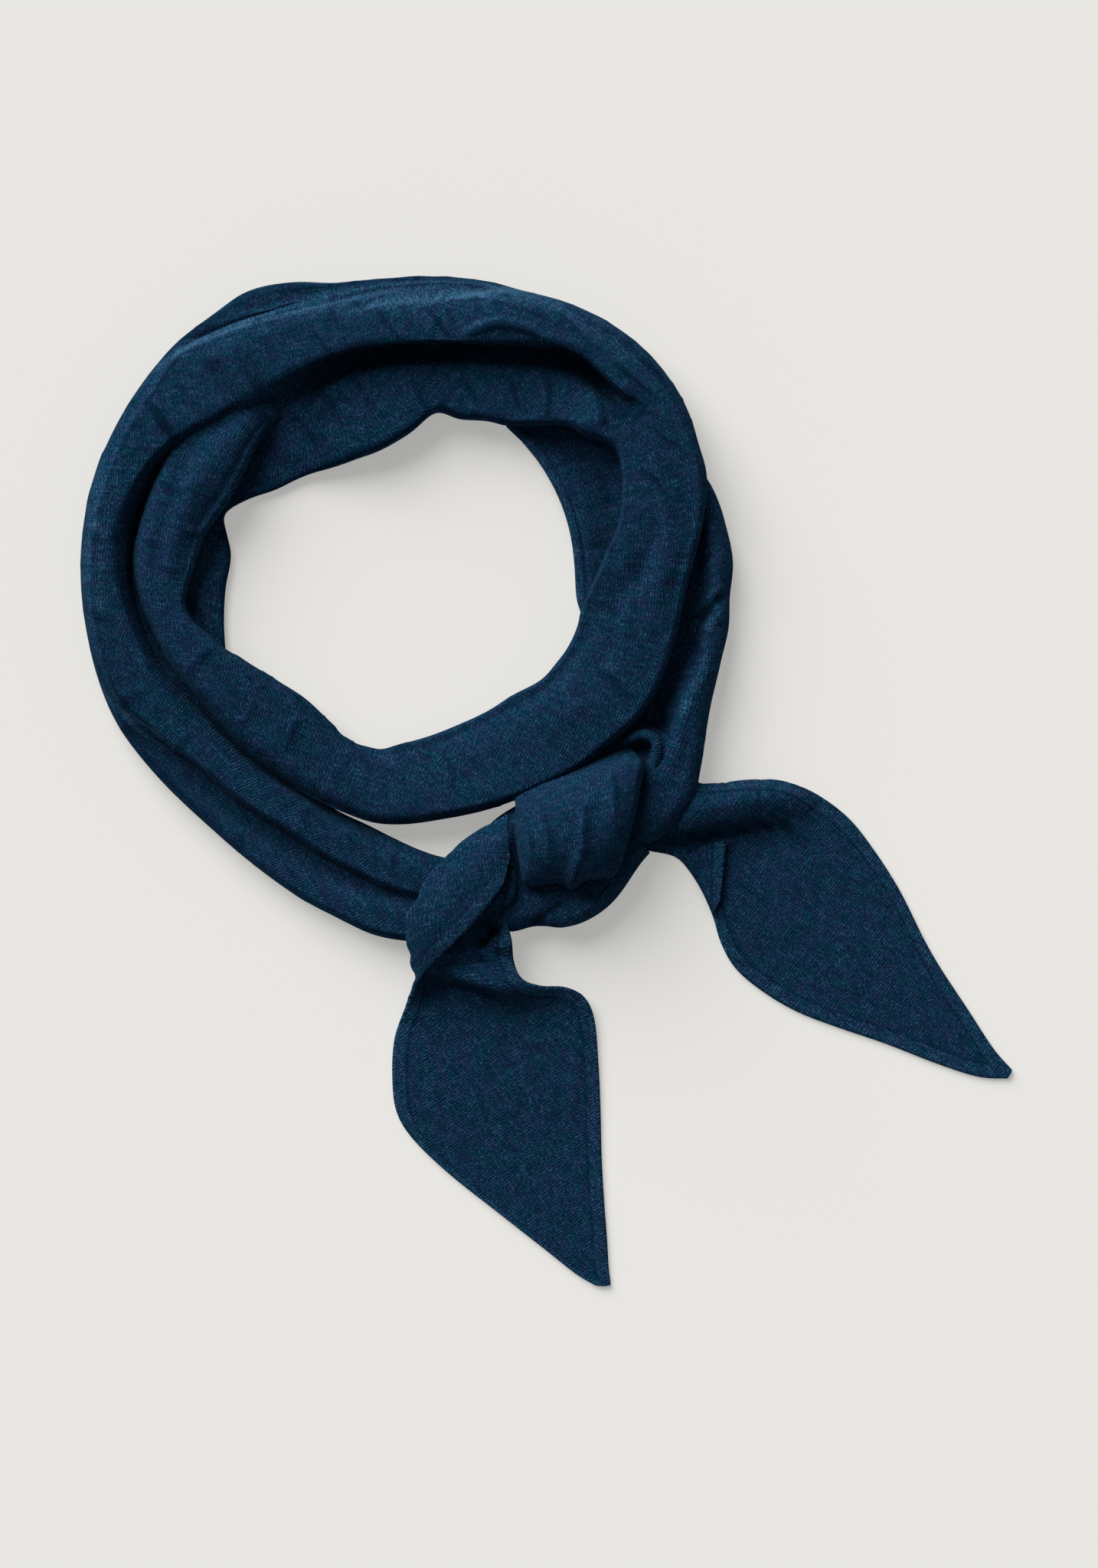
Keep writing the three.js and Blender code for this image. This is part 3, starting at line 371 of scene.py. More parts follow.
# First turn, top: a broad outer ridge over the hidden second turn, a deep groove below it, and
# an inner band beside the neck opening.
FIRST_TURN_TOP = Strand(
    start=38, end=134,
    outer=[
        (38, 112.5, 9), (47.7, 112.1, 9), (54, 110.6, 9), (60, 108.8, 8), (68.4, 106, 7),
        (74, 105.4, 6), (80, 104.4, 5), (86, 103.5, 5), (91.5, 102.9, 5), (96, 102.9, 5),
        (100, 103.2, 5), (104.5, 104.3, 5), (108.4, 107, 5), (113.7, 109.9, 5), (119, 112, 5),
        (126, 111.4, 5), (134, 112, 6),
    ],
    lines=[
        # the outermost pleat's crest, and the valley inside it
        [(38, 108, 19.5), (54, 106, 18.5), (60, 105, 17), (68, 104.4, 14), (74, 104, 12.4),
         (80, 103.4, 11.8), (88, 102.2, 11.2), (95, 102, 11.4), (103, 103, 12.4), (110, 105.6, 13),
         (118, 108.4, 12.2), (125, 109.4, 11), (134, 110.6, 8.8)],
        [(38, 105, 20), (54, 104.4, 19), (60, 103.8, 18.2), (68, 103.6, 14.8), (74, 103.4, 12.4),
         (80, 102.8, 11.6), (88, 100.8, 11.2), (95, 100, 11.6), (103, 99.4, 12), (110, 99.8, 12),
         (118, 102, 11.4), (125, 104.8, 10.4), (134, 109, 8.8)],
        # the middle pleat's crest, and the dip inside it
        [(38, 103, 21), (60, 102.6, 20), (68, 102.6, 17.4), (74, 102.4, 15.8), (80, 101.8, 15.2),
         (88, 99.4, 16.2), (95, 98.6, 17), (103, 98, 17.6), (110, 98.3, 17.6), (118, 100.5, 17),
         (125, 103.2, 15.6), (134, 107.8, 12.6)],
        [(38, 102, 21.8), (60, 101.6, 21.5), (68, 101.4, 19.2), (74, 100.8, 16.8), (80, 100, 15.6),
         (88, 97.4, 16.2), (95, 96.2, 17.4), (103, 95.8, 18.8), (110, 95.4, 19.4), (118, 97.4, 18.8),
         (125, 100, 17.8), (134, 104, 15.6)],
        # the ridge: its outer crest, its top and its lip over the groove
        [(38, 101, 22.4), (60, 99.6, 22.8), (68, 99, 22.2), (74, 98, 20.8), (80, 96.6, 20.4),
         (88, 93.8, 21), (95, 92.4, 21.4), (103, 91.8, 21.6), (110, 91.6, 21.4), (118, 93, 20.6),
         (125, 95, 19.6), (134, 98, 18.4)],
        [(38, 99.6, 22.7), (44.5, 98.4, 23.1), (47.5, 98, 23.3), (54, 97, 23.6), (60, 94, 23.8),
         (64, 91.2, 23.9), (68.7, 88, 24), (72, 86.2, 24), (80, 83, 23.9), (95, 81.2, 23.6),
         (110, 81, 22.6), (118, 81.2, 20.8), (125, 81.8, 19), (134, 84.2, 17)],
        [(38, 97.8, 22.8), (41.3, 97, 23), (44.5, 96.4, 23.2), (47.5, 96.3, 23.4), (54, 95.5, 23.7),
         (59, 92.8, 23.9), (64, 89.4, 24), (68.7, 86.2, 24), (72, 84.4, 24), (77, 82.3, 24),
         (80, 81.3, 23.9), (95, 79.4, 23.4), (103, 79, 22.6), (110, 79.1, 21.4), (118, 79, 19.6),
         (125, 79, 17.4), (134, 80.4, 15)],
        # the groove's bottom and its inner side
        [(38, 97, 22), (38.6, 96.6, 14), (39.6, 96, 6), (41.3, 95.2, 3.5), (44.5, 94.8, 3),
         (47.5, 94.6, 3), (54, 93.8, 3), (59, 91.2, 3), (64, 87.8, 3), (68.7, 84.6, 3), (72, 82.8, 3),
         (77, 80.8, 3), (80, 79.8, 3), (95, 77.9, 3), (107, 77.6, 3.4), (113, 77.4, 5),
         (119, 77.4, 8.4), (125, 77.4, 12), (134, 78.4, 12)],
        [(38, 94.6, 21.6), (38.6, 94.2, 15), (39.6, 93.6, 8), (41.3, 93, 5), (44.5, 92, 5),
         (47.5, 91.6, 5.5), (54, 89.8, 7), (59, 87, 7.4), (64, 83.8, 7.6), (68.7, 81.4, 7.6),
         (72, 80, 7.4), (77, 78, 7), (80, 77, 6.6), (95, 75.5, 6), (107, 75, 5.4), (113, 74.8, 5.4),
         (119, 74.6, 7.4), (125, 74.4, 9.8), (134, 73, 9.4)],
        # the band's shoulder beside the groove, and its crest
        [(38, 93.2, 21.8), (39.6, 92.4, 19.4), (41.3, 91.6, 16.5), (45, 90.2, 14), (54, 86, 12),
         (60, 82.6, 11.6), (66, 79.6, 11.2), (72, 77, 11), (80, 75, 10.8), (95, 73.6, 10.6),
         (106, 72.8, 9.8), (118, 71, 8.4), (126, 70.6, 7.8), (134, 69.6, 6.6)],
        [(38, 90, 21.8), (41, 88.6, 19.8), (45, 85.4, 16.6), (54, 80, 13.8), (62, 76, 13.4),
         (70, 72.4, 13), (84, 68.4, 12.8), (95, 67, 12.6), (106, 66.4, 11.4), (118, 65, 8.6),
         (126, 64.6, 6.6), (134, 64, 5)],
    ],
    inner=[
        (38, 78.3, 10), (44, 75.4, 8.5), (50, 68.6, 7), (56.4, 63, 6), (62, 61.2, 5), (71.6, 57.8, 5),
        (79.7, 58.1, 5), (84.4, 53.6, 4.5), (87, 51, 4.5), (93, 47.7, 4), (100, 45.4, 3.5),
        (107, 44.6, 3), (121, 45.5, 2.5), (134, 49.5, 2.5),
    ],
    out_rounding=((38, 4.5), (60, 5), (74, 3), (84, 1.6), (98, 1.3), (106, 2), (118, 3), (134, 3)),
    in_rounding=((38, 2), (60, 1.6), (134, 1.3)),
    groove=7,
    undercut=((38, 0), (41, 0.3), (46, 1.6), (52, 2.6), (106, 2.6), (116, 1), (120, 0), (134, 0)),
)

# Second turn, underneath, right: it comes out from below the top, shows a hemmed edge at the
# neck opening and a rolled outer side, and goes down to the knot.
UNDER_TURN = Strand(
    start=312, end=417,
    outer=[
        (312, 121, 5), (314.7, 122.6, 5), (319, 123.5, 5), (322.5, 123.2, 5), (325.6, 119.9, 6),
        (330, 116.4, 6), (336, 112.3, 6), (340, 111, 6), (346.4, 110.2, 6), (352, 110.7, 6),
        (357, 109.9, 6), (363.4, 111.2, 6), (369.5, 110.2, 6), (375, 109.3, 6), (381, 106.5, 5),
        (390, 95, 4), (398, 84, 3), (407, 74, 2), (417, 66, 1.5),
    ],
    lines=[
        [(312, 111, 14), (320, 113.5, 15), (328, 109, 16), (335, 105, 16), (345, 105.4, 15),
         (352, 104.6, 13), (360, 105, 14.5), (370, 104.6, 13), (380, 102, 9), (390, 92, 7),
         (398, 81.5, 5), (407, 72, 3.4), (417, 65.4, 2.6)],
        [(312, 104, 11), (320, 104, 11.5), (328, 99, 9), (335, 96.5, 8), (345, 97.6, 8), (352, 97.6, 7),
         (360, 98.8, 9), (370, 99.5, 9), (380, 98.5, 8), (390, 90, 7), (398, 79, 5), (407, 70.5, 3.4),
         (417, 64.9, 2.6)],
        [(312, 99, 10), (320, 97, 9.5), (328, 93, 8), (335, 90, 8), (345, 85, 8), (360, 82, 8),
         (372, 84, 7), (380, 84, 5), (390, 82, 4), (398, 78.5, 3.4), (407, 70.5, 3), (417, 64.6, 2.6)],
        [(312, 97, 10), (320, 94, 9), (328, 89, 8), (335, 86, 8), (345, 78, 6), (360, 72, 4),
         (372, 74, 3), (380, 75, 2.6), (390, 73.5, 2.6), (398, 71, 2.8), (407, 67.5, 2.8),
         (417, 64.2, 2.6)],
        [(312, 94, 10), (320, 91, 9), (328, 85, 7.5), (335, 80, 7), (345, 69, 6.4), (360, 62, 6.6),
         (372, 62.5, 6.8), (380, 63, 6.6), (390, 63.5, 6), (398, 63.6, 5), (407, 63.6, 4),
         (417, 63.6, 3)],
    ],
    inner=[
        (312, 87.2, 4), (320, 86.5, 4), (330, 80, 4), (340, 68, 4), (350, 60.2, 4.4), (355, 58, 4.6),
        (365, 57.4, 4.8), (381, 58.4, 4.6), (394, 59.6, 3.8), (403, 60.7, 2.6), (417, 62.6, 1.6),
    ],
    in_rounding=((312, 2), (417, 1.6)),
)

# Second turn, in front: right, bottom and left, one strip that shows most. Its last stretch
# goes in under the first turn's lip.
FRONT_TURN = Strand(
    start=127, end=398,
    outer=[
        (127, 80, 2.5), (130, 81.4, 8.6), (134, 82.8, 10), (140, 85.6, 10), (145, 88.6, 9.5),
        (150, 91, 8.5), (157, 91.4, 6.5), (167, 91.8, 5.5), (174, 92.4, 5.5), (178, 92.2, 5.5),
        (186.5, 89.6, 5), (191, 87.4, 5), (199, 84.8, 5), (205, 82.4, 5), (216, 79.4, 5),
        (230, 78.8, 5), (240, 79, 5), (255, 81, 5.5), (262, 82.4, 6), (268, 82.5, 6), (279, 81.6, 6),
        (290, 82.2, 6), (296, 82.8, 7), (306, 84.6, 8), (313, 86.8, 10), (322, 88.8, 12),
        (330, 91.8, 14), (336, 93, 15), (345, 93.2, 15), (357, 94.6, 15), (363, 97.3, 15),
        (369, 101, 15), (373, 103.8, 14.5), (377, 106.6, 14), (381, 108.6, 13), (384, 109, 12),
        (390, 111.3, 10.5), (396, 112.6, 9), (398, 112.5, 9),
    ],
    lines=[
        [(127, 77.6, 3), (128.5, 78, 8), (131, 78.4, 12.6), (135, 79.4, 14), (140, 81.4, 14.4),
         (145, 84.4, 14), (150, 85.8, 14), (157, 83.4, 16.4), (167, 84, 16.5), (178, 84.6, 16),
         (185, 83.6, 16), (192, 80, 16.5), (200, 76.4, 17), (205, 75, 17.5), (215, 73, 17.5),
         (230, 71.8, 17), (245, 73.6, 15.5), (255, 75.4, 14.5), (262, 76.4, 14), (268, 77, 14),
         (290, 78.4, 14), (306, 80.6, 16.5), (322, 84.4, 20), (336, 89, 21), (350, 90.4, 20.6),
         (360, 92.6, 20.4), (369, 97.4, 20.8), (381, 103, 21.4), (390, 106.5, 20.4), (398, 108, 19.5)],
        [(127, 74, 3), (128.5, 74.3, 9), (131, 74.6, 13.6), (135, 75.2, 15.6), (150, 76.4, 18.2),
         (167, 79, 18), (178, 79.4, 16.6), (185, 79.6, 15.6), (192, 76, 17), (200, 71.6, 18.5),
         (215, 66, 18), (230, 64, 17), (255, 68.5, 13.4), (268, 69, 12.4), (290, 69, 12.8),
         (306, 69, 15.5), (322, 74, 20.4), (336, 79, 21.6), (350, 83, 22), (360, 86.5, 22.4),
         (369, 90, 22.4), (381, 95, 22.6), (398, 101, 22.4)],
        [(127, 72.6, 3), (128.5, 72.4, 8.6), (131, 72.4, 13), (135, 72.6, 15), (150, 71, 17),
         (167, 74, 16), (178, 75.4, 16), (185, 77, 15.8), (192, 74.4, 16.6), (200, 68, 16.5),
         (215, 59.6, 15), (230, 57, 13.6), (255, 61.5, 10.5), (268, 60.5, 10), (290, 58, 10.4),
         (306, 58.4, 13), (322, 64, 18), (336, 67, 20), (350, 70, 20.4), (360, 77, 19.6),
         (369, 84, 20.6), (381, 88, 21.6), (398, 92, 21.8)],
        [(127, 71, 3), (128.5, 70.8, 8), (131, 70.6, 12), (135, 70.6, 13.5), (150, 67.6, 15),
         (167, 71.4, 14.6), (178, 73.8, 15.4), (185, 76, 15.8), (192, 73.4, 15.6), (200, 66.4, 14),
         (215, 57, 12.6), (230, 54, 11.5), (255, 58.8, 8.8), (268, 57.4, 8.5), (290, 54.4, 8.8),
         (306, 55, 11), (322, 59, 15), (336, 61.6, 17.5), (350, 64.5, 19.6), (360, 70, 21),
         (369, 76, 21), (381, 82, 20.6), (398, 85, 20)],
    ],
    inner=[
        (127, 69.6, 2.5), (132, 69, 8), (139, 67.3, 9.5), (146, 65.6, 10), (154, 65.2, 10),
        (159.6, 66.2, 9.5), (167, 69.4, 10), (171.5, 70.5, 10), (177, 71.6, 10), (182.4, 73.8, 10),
        (185.5, 75, 10), (190.7, 72.8, 10), (194, 69.9, 9), (200.5, 65.2, 7.5), (206, 60.7, 6),
        (216.8, 55.2, 5), (229.6, 52.2, 4.5), (243, 54.3, 4), (249, 57.2, 4), (257, 57.6, 4),
        (262, 57.5, 4), (267, 55.4, 4), (278, 53.1, 4), (290, 51.7, 4), (303, 52, 4.5), (314, 53.1, 5),
        (324.5, 56.9, 7), (331, 58, 9), (338, 59.4, 11), (347, 60.3, 12), (351, 60.2, 12.5),
        (360, 63.7, 13), (368.7, 68.9, 13.5), (374, 73.8, 14), (383, 79.7, 14), (390, 83.2, 13.5),
        (393.6, 83.4, 12.5), (396, 80.5, 11), (398, 78.3, 10),
    ],
    out_rounding=((127, 2), (145, 2), (152, 4), (158, 6), (240, 6), (262, 4), (290, 3),
                  (320, 2.4), (375, 2.4), (390, 4), (398, 4.5)),
    in_rounding=((127, 2), (200, 1.5), (345, 1.5), (398, 2)),
)

# Under the knot's band: the strands that cross there share one rounded form, which shows as
# two dark lobes below the band.
KNOT_UNDER = Strand(
    start=283, end=312,
    outer=[
        (283, 120, 5), (286.4, 124.2, 5.5), (290.7, 124.6, 5.5), (295, 129.4, 6), (299, 130.5, 6),
        (303, 129.5, 6), (306.5, 126.8, 6), (310, 124.2, 6), (312, 123.8, 5),
    ],
    lines=[
        [(283, 115, 10), (290, 119, 13), (300, 124, 14), (308, 120, 13.5), (312, 114, 12)],
        [(283, 108, 10), (290, 111, 12), (300, 114, 13), (308, 112, 12.5), (312, 106, 11)],
        [(283, 100, 10), (298, 98, 12), (312, 98, 10)],
    ],
    inner=[
        (283, 93, 4), (290, 86.4, 4), (296.5, 84.6, 4), (300, 84.6, 4), (306, 85.5, 4), (312, 87.2, 4),
    ],
)


def strand_grid(stretches):
    """A strand's stretches joined: angles, and radii, two heights and the groove across each.

    A stretch is (strand, first angle, last angle, the strands below it, whether it is tucked
    in under them rather than raised over them).
    """
    parts = []
    for strand, first, last, below, tucked in stretches:
        count = int(round(abs(last - first) / STATION_DEGREES)) + 1
        angle = np.linspace(first, last, count)[:, None]
        inner, _, outer, _ = strand.edges(angle)
        radius = inner + (outer - inner) * FINE_SHARES
        base = np.zeros_like(radius)
        for each in below:
            base = np.maximum(base, each.height_below(angle, radius))
        base = np.where(base > 0, base + LAYER_GAP, 0)
        top = strand.top(angle, radius)
        if tucked:
            base = np.clip(base, 0, np.maximum(top - LEAST_LAYER, 0))
        else:
            top = np.maximum(top, base + LEAST_LAYER)
        shift = strand.deepened(angle, radius, top)
        parts.append((angle[:, 0], radius, top, base, shift))
    for before, after in zip(parts, parts[1:]):
        turn = 360 * round((after[0][0] - before[0][-1]) / 360)
        after[0][:] -= turn
    return [np.concatenate([part[k][i > 0 :] for i, part in enumerate(parts)]) for k in range(5)]


def shares_along(lines):
    """How far along its line each point is, from 0 to 1, changing little from line to line."""
    step = np.linalg.norm(np.diff(lines, axis=1), axis=-1)
    share = np.concatenate([0 * step[:, :1], np.cumsum(step, axis=1)], axis=1)
    share /= share[:, -1:]
    padded = np.pad(share, ((ALIKE_ROWS, ALIKE_ROWS), (0, 0)), mode="edge")
    weights = np.hanning(2 * ALIKE_ROWS + 3)[1:-1]
    weights /= weights.sum()
    return sum(weight * padded[i : i + len(share)] for i, weight in enumerate(weights))


def strand_rings(radius, top, base, shift):
    """Closed sections as radius and height: over the top from the inner side, and back below."""
    rings = []
    lines = np.stack([radius + shift, top], axis=-1)
    wanted = np.linspace(0, 1, TOP_POINTS)
    for r, low, line, share in zip(radius, base, lines, shares_along(lines)):
        z = line[:, 1]
        curl = min(CURL, (r[-1] - r[0]) / NARROW)
        over = np.stack([np.interp(wanted, share, column) for column in line.T], axis=-1)
        feet = []
        for edge, height, inward in [(r[-1], z[-1], -1), (r[0], z[0], 1)]:
            foot = np.interp(edge + inward * curl, r, low)
            feet.append(np.stack([
                edge + inward * curl * (1 - np.cos(FOOT_TURN)),
                height - (height - foot) * np.sin(FOOT_TURN),
            ], axis=-1))
        across = np.linspace(r[-1] - curl, r[0] + curl, UNDER_POINTS)[1:-1]
        under = np.stack([across, np.interp(across, r, low)], axis=-1)
        rings.append(np.concatenate([over, feet[0], under, feet[1][::-1]]))
    return np.array(rings)


def on_loop(angle, radius, height):
    turn = np.radians(angle)
    return np.stack([radius * np.cos(turn), radius * np.sin(turn), height + 0 * turn], axis=-1)


def lining_sections(share, top, base, window, place_at):
    """The inside of a shell: fewer, coarser sections a wall's thickness in, and their rows.

    Each place across a section has a share, a top and a base, and place_at gives the flat
    place of a share of a row.
    """
    rows = [*range(0, len(top) - 1, LINING_ROWS), len(top) - 1]
    sections = []
    for row in rows:
        near = slice(max(row - LINING_ROWS, 0), row + LINING_ROWS + 1)
        over, under = [], []
        for middle in np.linspace(0.5 / LINING_POINTS, 1 - 0.5 / LINING_POINTS, LINING_POINTS):
            close = np.abs(share[near] - middle) <= window / LINING_POINTS
            low = base[near][close].max() + WALL
            high = max(top[near][close].min() - WALL, low + LEAST_HOLLOW)
            place = place_at(row, middle)
            over.append([*place, high])
            under.append([*place, low])
        sections.append(over + under[::-1])
    return rows, np.array(sections)


def strand_lining(angle, radius, top, base):
    width = radius[:, -1:] - radius[:, :1]
    place_at = lambda row, middle: radius[row, :1] + width[row] * middle
    share = (radius - radius[:, :1]) / width
    rows, sections = lining_sections(share, top, base, STRAND_WINDOW, place_at)
    return on_loop(angle[rows][:, None], sections[..., 0], sections[..., 1])


# ---- creases ----


def route_distance(x, y, route):
    """How far each place is from a smooth route, and at what share of the route."""
    line_points = through(route, np.linspace(0, 1, ROUTE_POINTS * len(route)))
    best = np.full(x.shape, np.inf)
    share = np.zeros(x.shape)
    along = lengths_along(line_points)
    for i in range(len(line_points) - 1):
        (ax, ay), (bx, by) = line_points[i], line_points[i + 1]
        dx, dy = bx - ax, by - ay
        t = np.clip(((x - ax) * dx + (y - ay) * dy) / (dx * dx + dy * dy), 0, 1)
        px, py = x - ax - t * dx, y - ay - t * dy
        distance = np.hypot(px, py)
        closer = distance < best
        best = np.where(closer, distance, best)
        share = np.where(closer, (along[i] + t * (along[i + 1] - along[i])) / along[-1], share)
    return best, share


def crease_rise(x, y, creases):
    """How far creases lift the cloth: (height, width, route), the height negative in a trough."""
    rise = np.zeros(x.shape)
    for height, width, route in creases:
        corners = np.array(route)
        reach = CREASE_REACH * width
        low, high = corners.min(axis=0) - reach, corners.max(axis=0) + reach
        close = (x > low[0]) & (x < high[0]) & (y > low[1]) & (y < high[1])
        if close.any():
            distance, share = route_distance(x[close], y[close], route)
            fade = np.sqrt(np.sin(np.pi * np.clip(share, CREASE_END, 1 - CREASE_END)))
            rise[close] += height * fade * np.exp(-((distance / width) ** 2))
    return rise


def undulation(across, along, seed, size=1.0):
    """Low uneven waves over the cloth, and a few narrow pinches across it."""
    wave = lambda wide, long, more: soft_noise(across / wide, along / long, seed + more)
    broad = BROAD_RISE * wave(13, 30, 0)
    middle = MIDDLE_RISE * wave(5.5, 11, 1)
    pinch = -PINCH_DEPTH * (1 - np.abs(wave(17, 6.5, 2))) ** 8
    return size * (broad + middle + pinch)


def grid_normals(grid, closed):
    """The unit normals of a grid of points whose second axis may close on itself."""
    onward = np.gradient(grid, axis=0)
    if closed:
        sideways = np.roll(grid, -1, axis=1) - np.roll(grid, 1, axis=1)
    else:
        sideways = np.gradient(grid, axis=1)
    normal = np.cross(sideways, onward)
    return normal / np.maximum(np.linalg.norm(normal, axis=-1, keepdims=True), 1e-9)


# ---- meshes ----


def proud(grid, normal, closed):
    """How far each place of a grid stands out from those beside it: more on a crest, in mm."""
    stands = []
    for axis in (0, 1):
        place = np.arange(grid.shape[axis])
        before, after = place - PROUD_REACH, place + PROUD_REACH
        if axis == 1 and closed:
            before, after = before % len(place), after % len(place)
        pair = sum(np.take(grid, each, axis, mode="clip") for each in (before, after))
        stands.append(((grid - pair / 2) * normal).sum(axis=-1))
    return stands[0] + stands[1]


def raised(grid, rise):
    """A closed grid with its upper side creased and uneven, and its two feet left as they are."""
    position = np.arange(grid.shape[1])
    edge = np.minimum(position, TOP_POINTS - 1 - position)
    amount = smoothstep((edge + 1) / EDGE_POINTS) * (position < TOP_POINTS)
    return grid + grid_normals(grid, True) * (rise * amount)[..., None]


def add_mesh(name, points, faces, corner_uv, material, fold, hem=None, painted_line_highlight=None):
    """A smooth-shaded mesh from points in mm. Each face has its corners' uv in mm."""
    mesh = bpy.data.meshes.new(name)
    mesh.from_pydata(((points + MIDDLE) * MM).tolist(), [], [list(face) for face in faces])
    layer = mesh.uv_layers.new(name="cloth")
    flat_uv = np.concatenate([np.asarray(each, float) for each in corner_uv])
    layer.data.foreach_set("uv", (flat_uv * MM).astype(np.float32).ravel())
    hem = np.full(len(points), NO_HEM) if hem is None else hem
    painted_line_highlight = np.zeros(len(points)) if painted_line_highlight is None else painted_line_highlight
    # The fold values drive the wool's painted crest highlight and painted hollow shade, and the third
    # attribute holds a painted highlight along the given lines.
    for attribute, values in [("hem_distance", hem), ("fold", fold), ("painted_line_highlight", painted_line_highlight)]:
        each = mesh.attributes.new(attribute, "FLOAT", "POINT")
        each.data.foreach_set("value", values.astype(np.float32))
    mesh.polygons.foreach_set("use_smooth", np.ones(len(faces), bool))
    mesh.materials.append(material)
    mesh.validate()
    obj = bpy.data.objects.new(name, mesh)
    bpy.context.scene.collection.objects.link(obj)
    return obj


def quads(rows, columns, start):
    """Faces of a closed grid of points numbered from start, and each corner's row and column."""
    row, column = np.meshgrid(np.arange(rows - 1), np.arange(columns), indexing="ij")
    row, column = row.ravel(), column.ravel()
    corner_rows = np.stack([row, row + 1, row + 1, row], axis=1)
    corner_columns = np.stack([column, column, column + 1, column + 1], axis=1)
    faces = start + corner_rows * columns + corner_columns % columns
    return faces, corner_rows, corner_columns


def zipped(first, second):
    """Triangles between two rows of points, matched by how far along each point is."""
    faces = []
    first_at, second_at = (np.linspace(0, 1, len(each)) for each in (first, second))
    i = j = 0
    while i < len(first) - 1 or j < len(second) - 1:
        first_next = first_at[i + 1] if i < len(first) - 1 else np.inf
        second_next = second_at[j + 1] if j < len(second) - 1 else np.inf
        if first_next <= second_next:
            faces.append([first[i], first[i + 1], second[j]])
            i += 1
        else:
            faces.append([first[i], second[j + 1], second[j]])
            j += 1
    return faces


def add_shell(name, outside, lining, uv, material, hem=None, painted_line_highlight=None):
    """A closed thin shell: rings of points outside, a coarser lining, and a rim at each end."""
    rows, columns = outside.shape[:2]
    inner_rows, inner_columns = lining.shape[:2]
    start = rows * columns
    points = np.concatenate([outside.reshape(-1, 3), lining.reshape(-1, 3)])
    faces, face_rows, face_columns = quads(rows, columns, 0)
    corner_uv = list(uv[face_rows, face_columns])
    faces = list(faces)
    inner_faces, inner_face_rows, inner_face_columns = quads(inner_rows, inner_columns, start)
    along = uv[-1, 0, 1] / (inner_rows - 1)
    inner_uv = np.stack([inner_face_columns * LINING_STEP, inner_face_rows * along], axis=-1)
    faces += list(inner_faces[:, ::-1])
    corner_uv += list(inner_uv[:, ::-1])
    half = inner_columns // 2
    for row, inner_row, flip in [(0, 0, True), (rows - 1, inner_rows - 1, False)]:
        ring = row * columns + np.arange(columns)
        inside = start + inner_row * inner_columns + np.arange(inner_columns)
        over, under = ring[:TOP_POINTS], np.append(ring[TOP_POINTS - 1 :], ring[0])
        inside_over, inside_under = inside[:half], np.append(inside[half - 1 :], inside[0])
        triangles = []
        for a, b in [(over, inside_over), (under, inside_under)]:
            triangles += zipped(a, b)
        for triangle in triangles:
            face = triangle[::-1] if flip else triangle
            faces.append(np.array(face))
            corner_uv.append(points[face][:, :2])
    fold = proud(outside, grid_normals(outside, True), True)
    values = []
    for each, inside in [(fold, 0.0), (hem, NO_HEM), (painted_line_highlight, 0.0)]:
        inner = np.full(inner_rows * inner_columns, inside)
        values.append(None if each is None else np.concatenate([each.ravel(), inner]))
    return add_mesh(name, points, faces, corner_uv, material, *values)


def rib_places(middle, outward, across, slope):
    """Places along the ribs and across them, where the ribs run at a slope in the plan view.

    The strand's middle line and outward directions are given for each section, and how far
    each point is across it.
    """
    turn = np.radians(slope)
    along_rib = np.stack([np.cos(turn), np.sin(turn)], axis=-1)
    across_rib = np.stack([-np.sin(turn), np.cos(turn)], axis=-1)
    steps = np.diff(middle[:, :2], axis=0, prepend=middle[:1, :2])
    places = []
    for direction in (along_rib, across_rib):
        start = np.cumsum((steps * direction).sum(axis=-1))
        share = (outward * direction).sum(axis=-1)
        places.append(start[:, None] + share[:, None] * across)
    return np.stack(places, axis=-1)


def spread_out(rings):
    """How far each place of a closed section is from its inner edge, round the outside.

    On top, away from both edges, a height counts for less, so that a deep groove doesn't
    draw out the knit beside it.
    """
    closed = np.concatenate([rings, rings[:, :1]], axis=1)
    step = np.diff(closed, axis=1)
    clear = np.arange(rings.shape[1]) < TOP_POINTS
    for edge in (0, TOP_POINTS - 1):
        from_edge = np.linalg.norm(rings - rings[:, edge : edge + 1], axis=-1)
        clear = clear & (from_edge > GROOVE_CLEAR)
    length = np.hypot(step[..., 0], step[..., 1] * np.where(clear, GROOVE_WEIGHT, 1))
    return np.concatenate([np.zeros_like(length[:, :1]), np.cumsum(length, axis=1)], axis=1)


def add_strand(name, stretches, material, ribs, creases, seed, hemmed=False, highlight_lines=()):
    angle, radius, top, base, shift = strand_grid(stretches)
    rings = blurred(strand_rings(radius, top, base, shift), RINGS_BLUR)
    grid = on_loop(angle[:, None], rings[..., 0], rings[..., 1])
    on_top = np.arange(grid.shape[1]) < TOP_POINTS
    middle = grid[:, TOP_POINTS // 2]
    along = np.repeat(lengths_along(middle)[:, None], grid.shape[1], axis=1)
    across = spread_out(rings)
    outward = on_loop(angle, 1.0, 0 * angle)[:, :2]
    slope = smooth(angle, *np.array(sorted(ribs), float).T)
    uv = rib_places(middle, outward, across - across[:, TOP_POINTS // 2, None], slope)
    rise = undulation(across[:, :-1], along, seed)
    # A painted highlight along the given lines, kept to the upper side.
    painted_line_highlight = np.zeros(rise.shape)
    for first, last, routes in creases:
        here = (angle >= first) & (angle <= last)
        x, y = grid[here][..., 0], grid[here][..., 1]
        rise[here] += crease_rise(x, y, routes)
        painted_line_highlight[here] += crease_rise(x, y, highlight_lines)
    # A hemmed strand's hem runs along its inner edge.
    hem = np.where(on_top, across[:, :-1], NO_HEM) if hemmed else None
    lining = strand_lining(angle, radius, top, base)
    return add_shell(name, raised(grid, rise), lining, uv, material, hem, painted_line_highlight * on_top)


# ---- the knot's band and roll ----


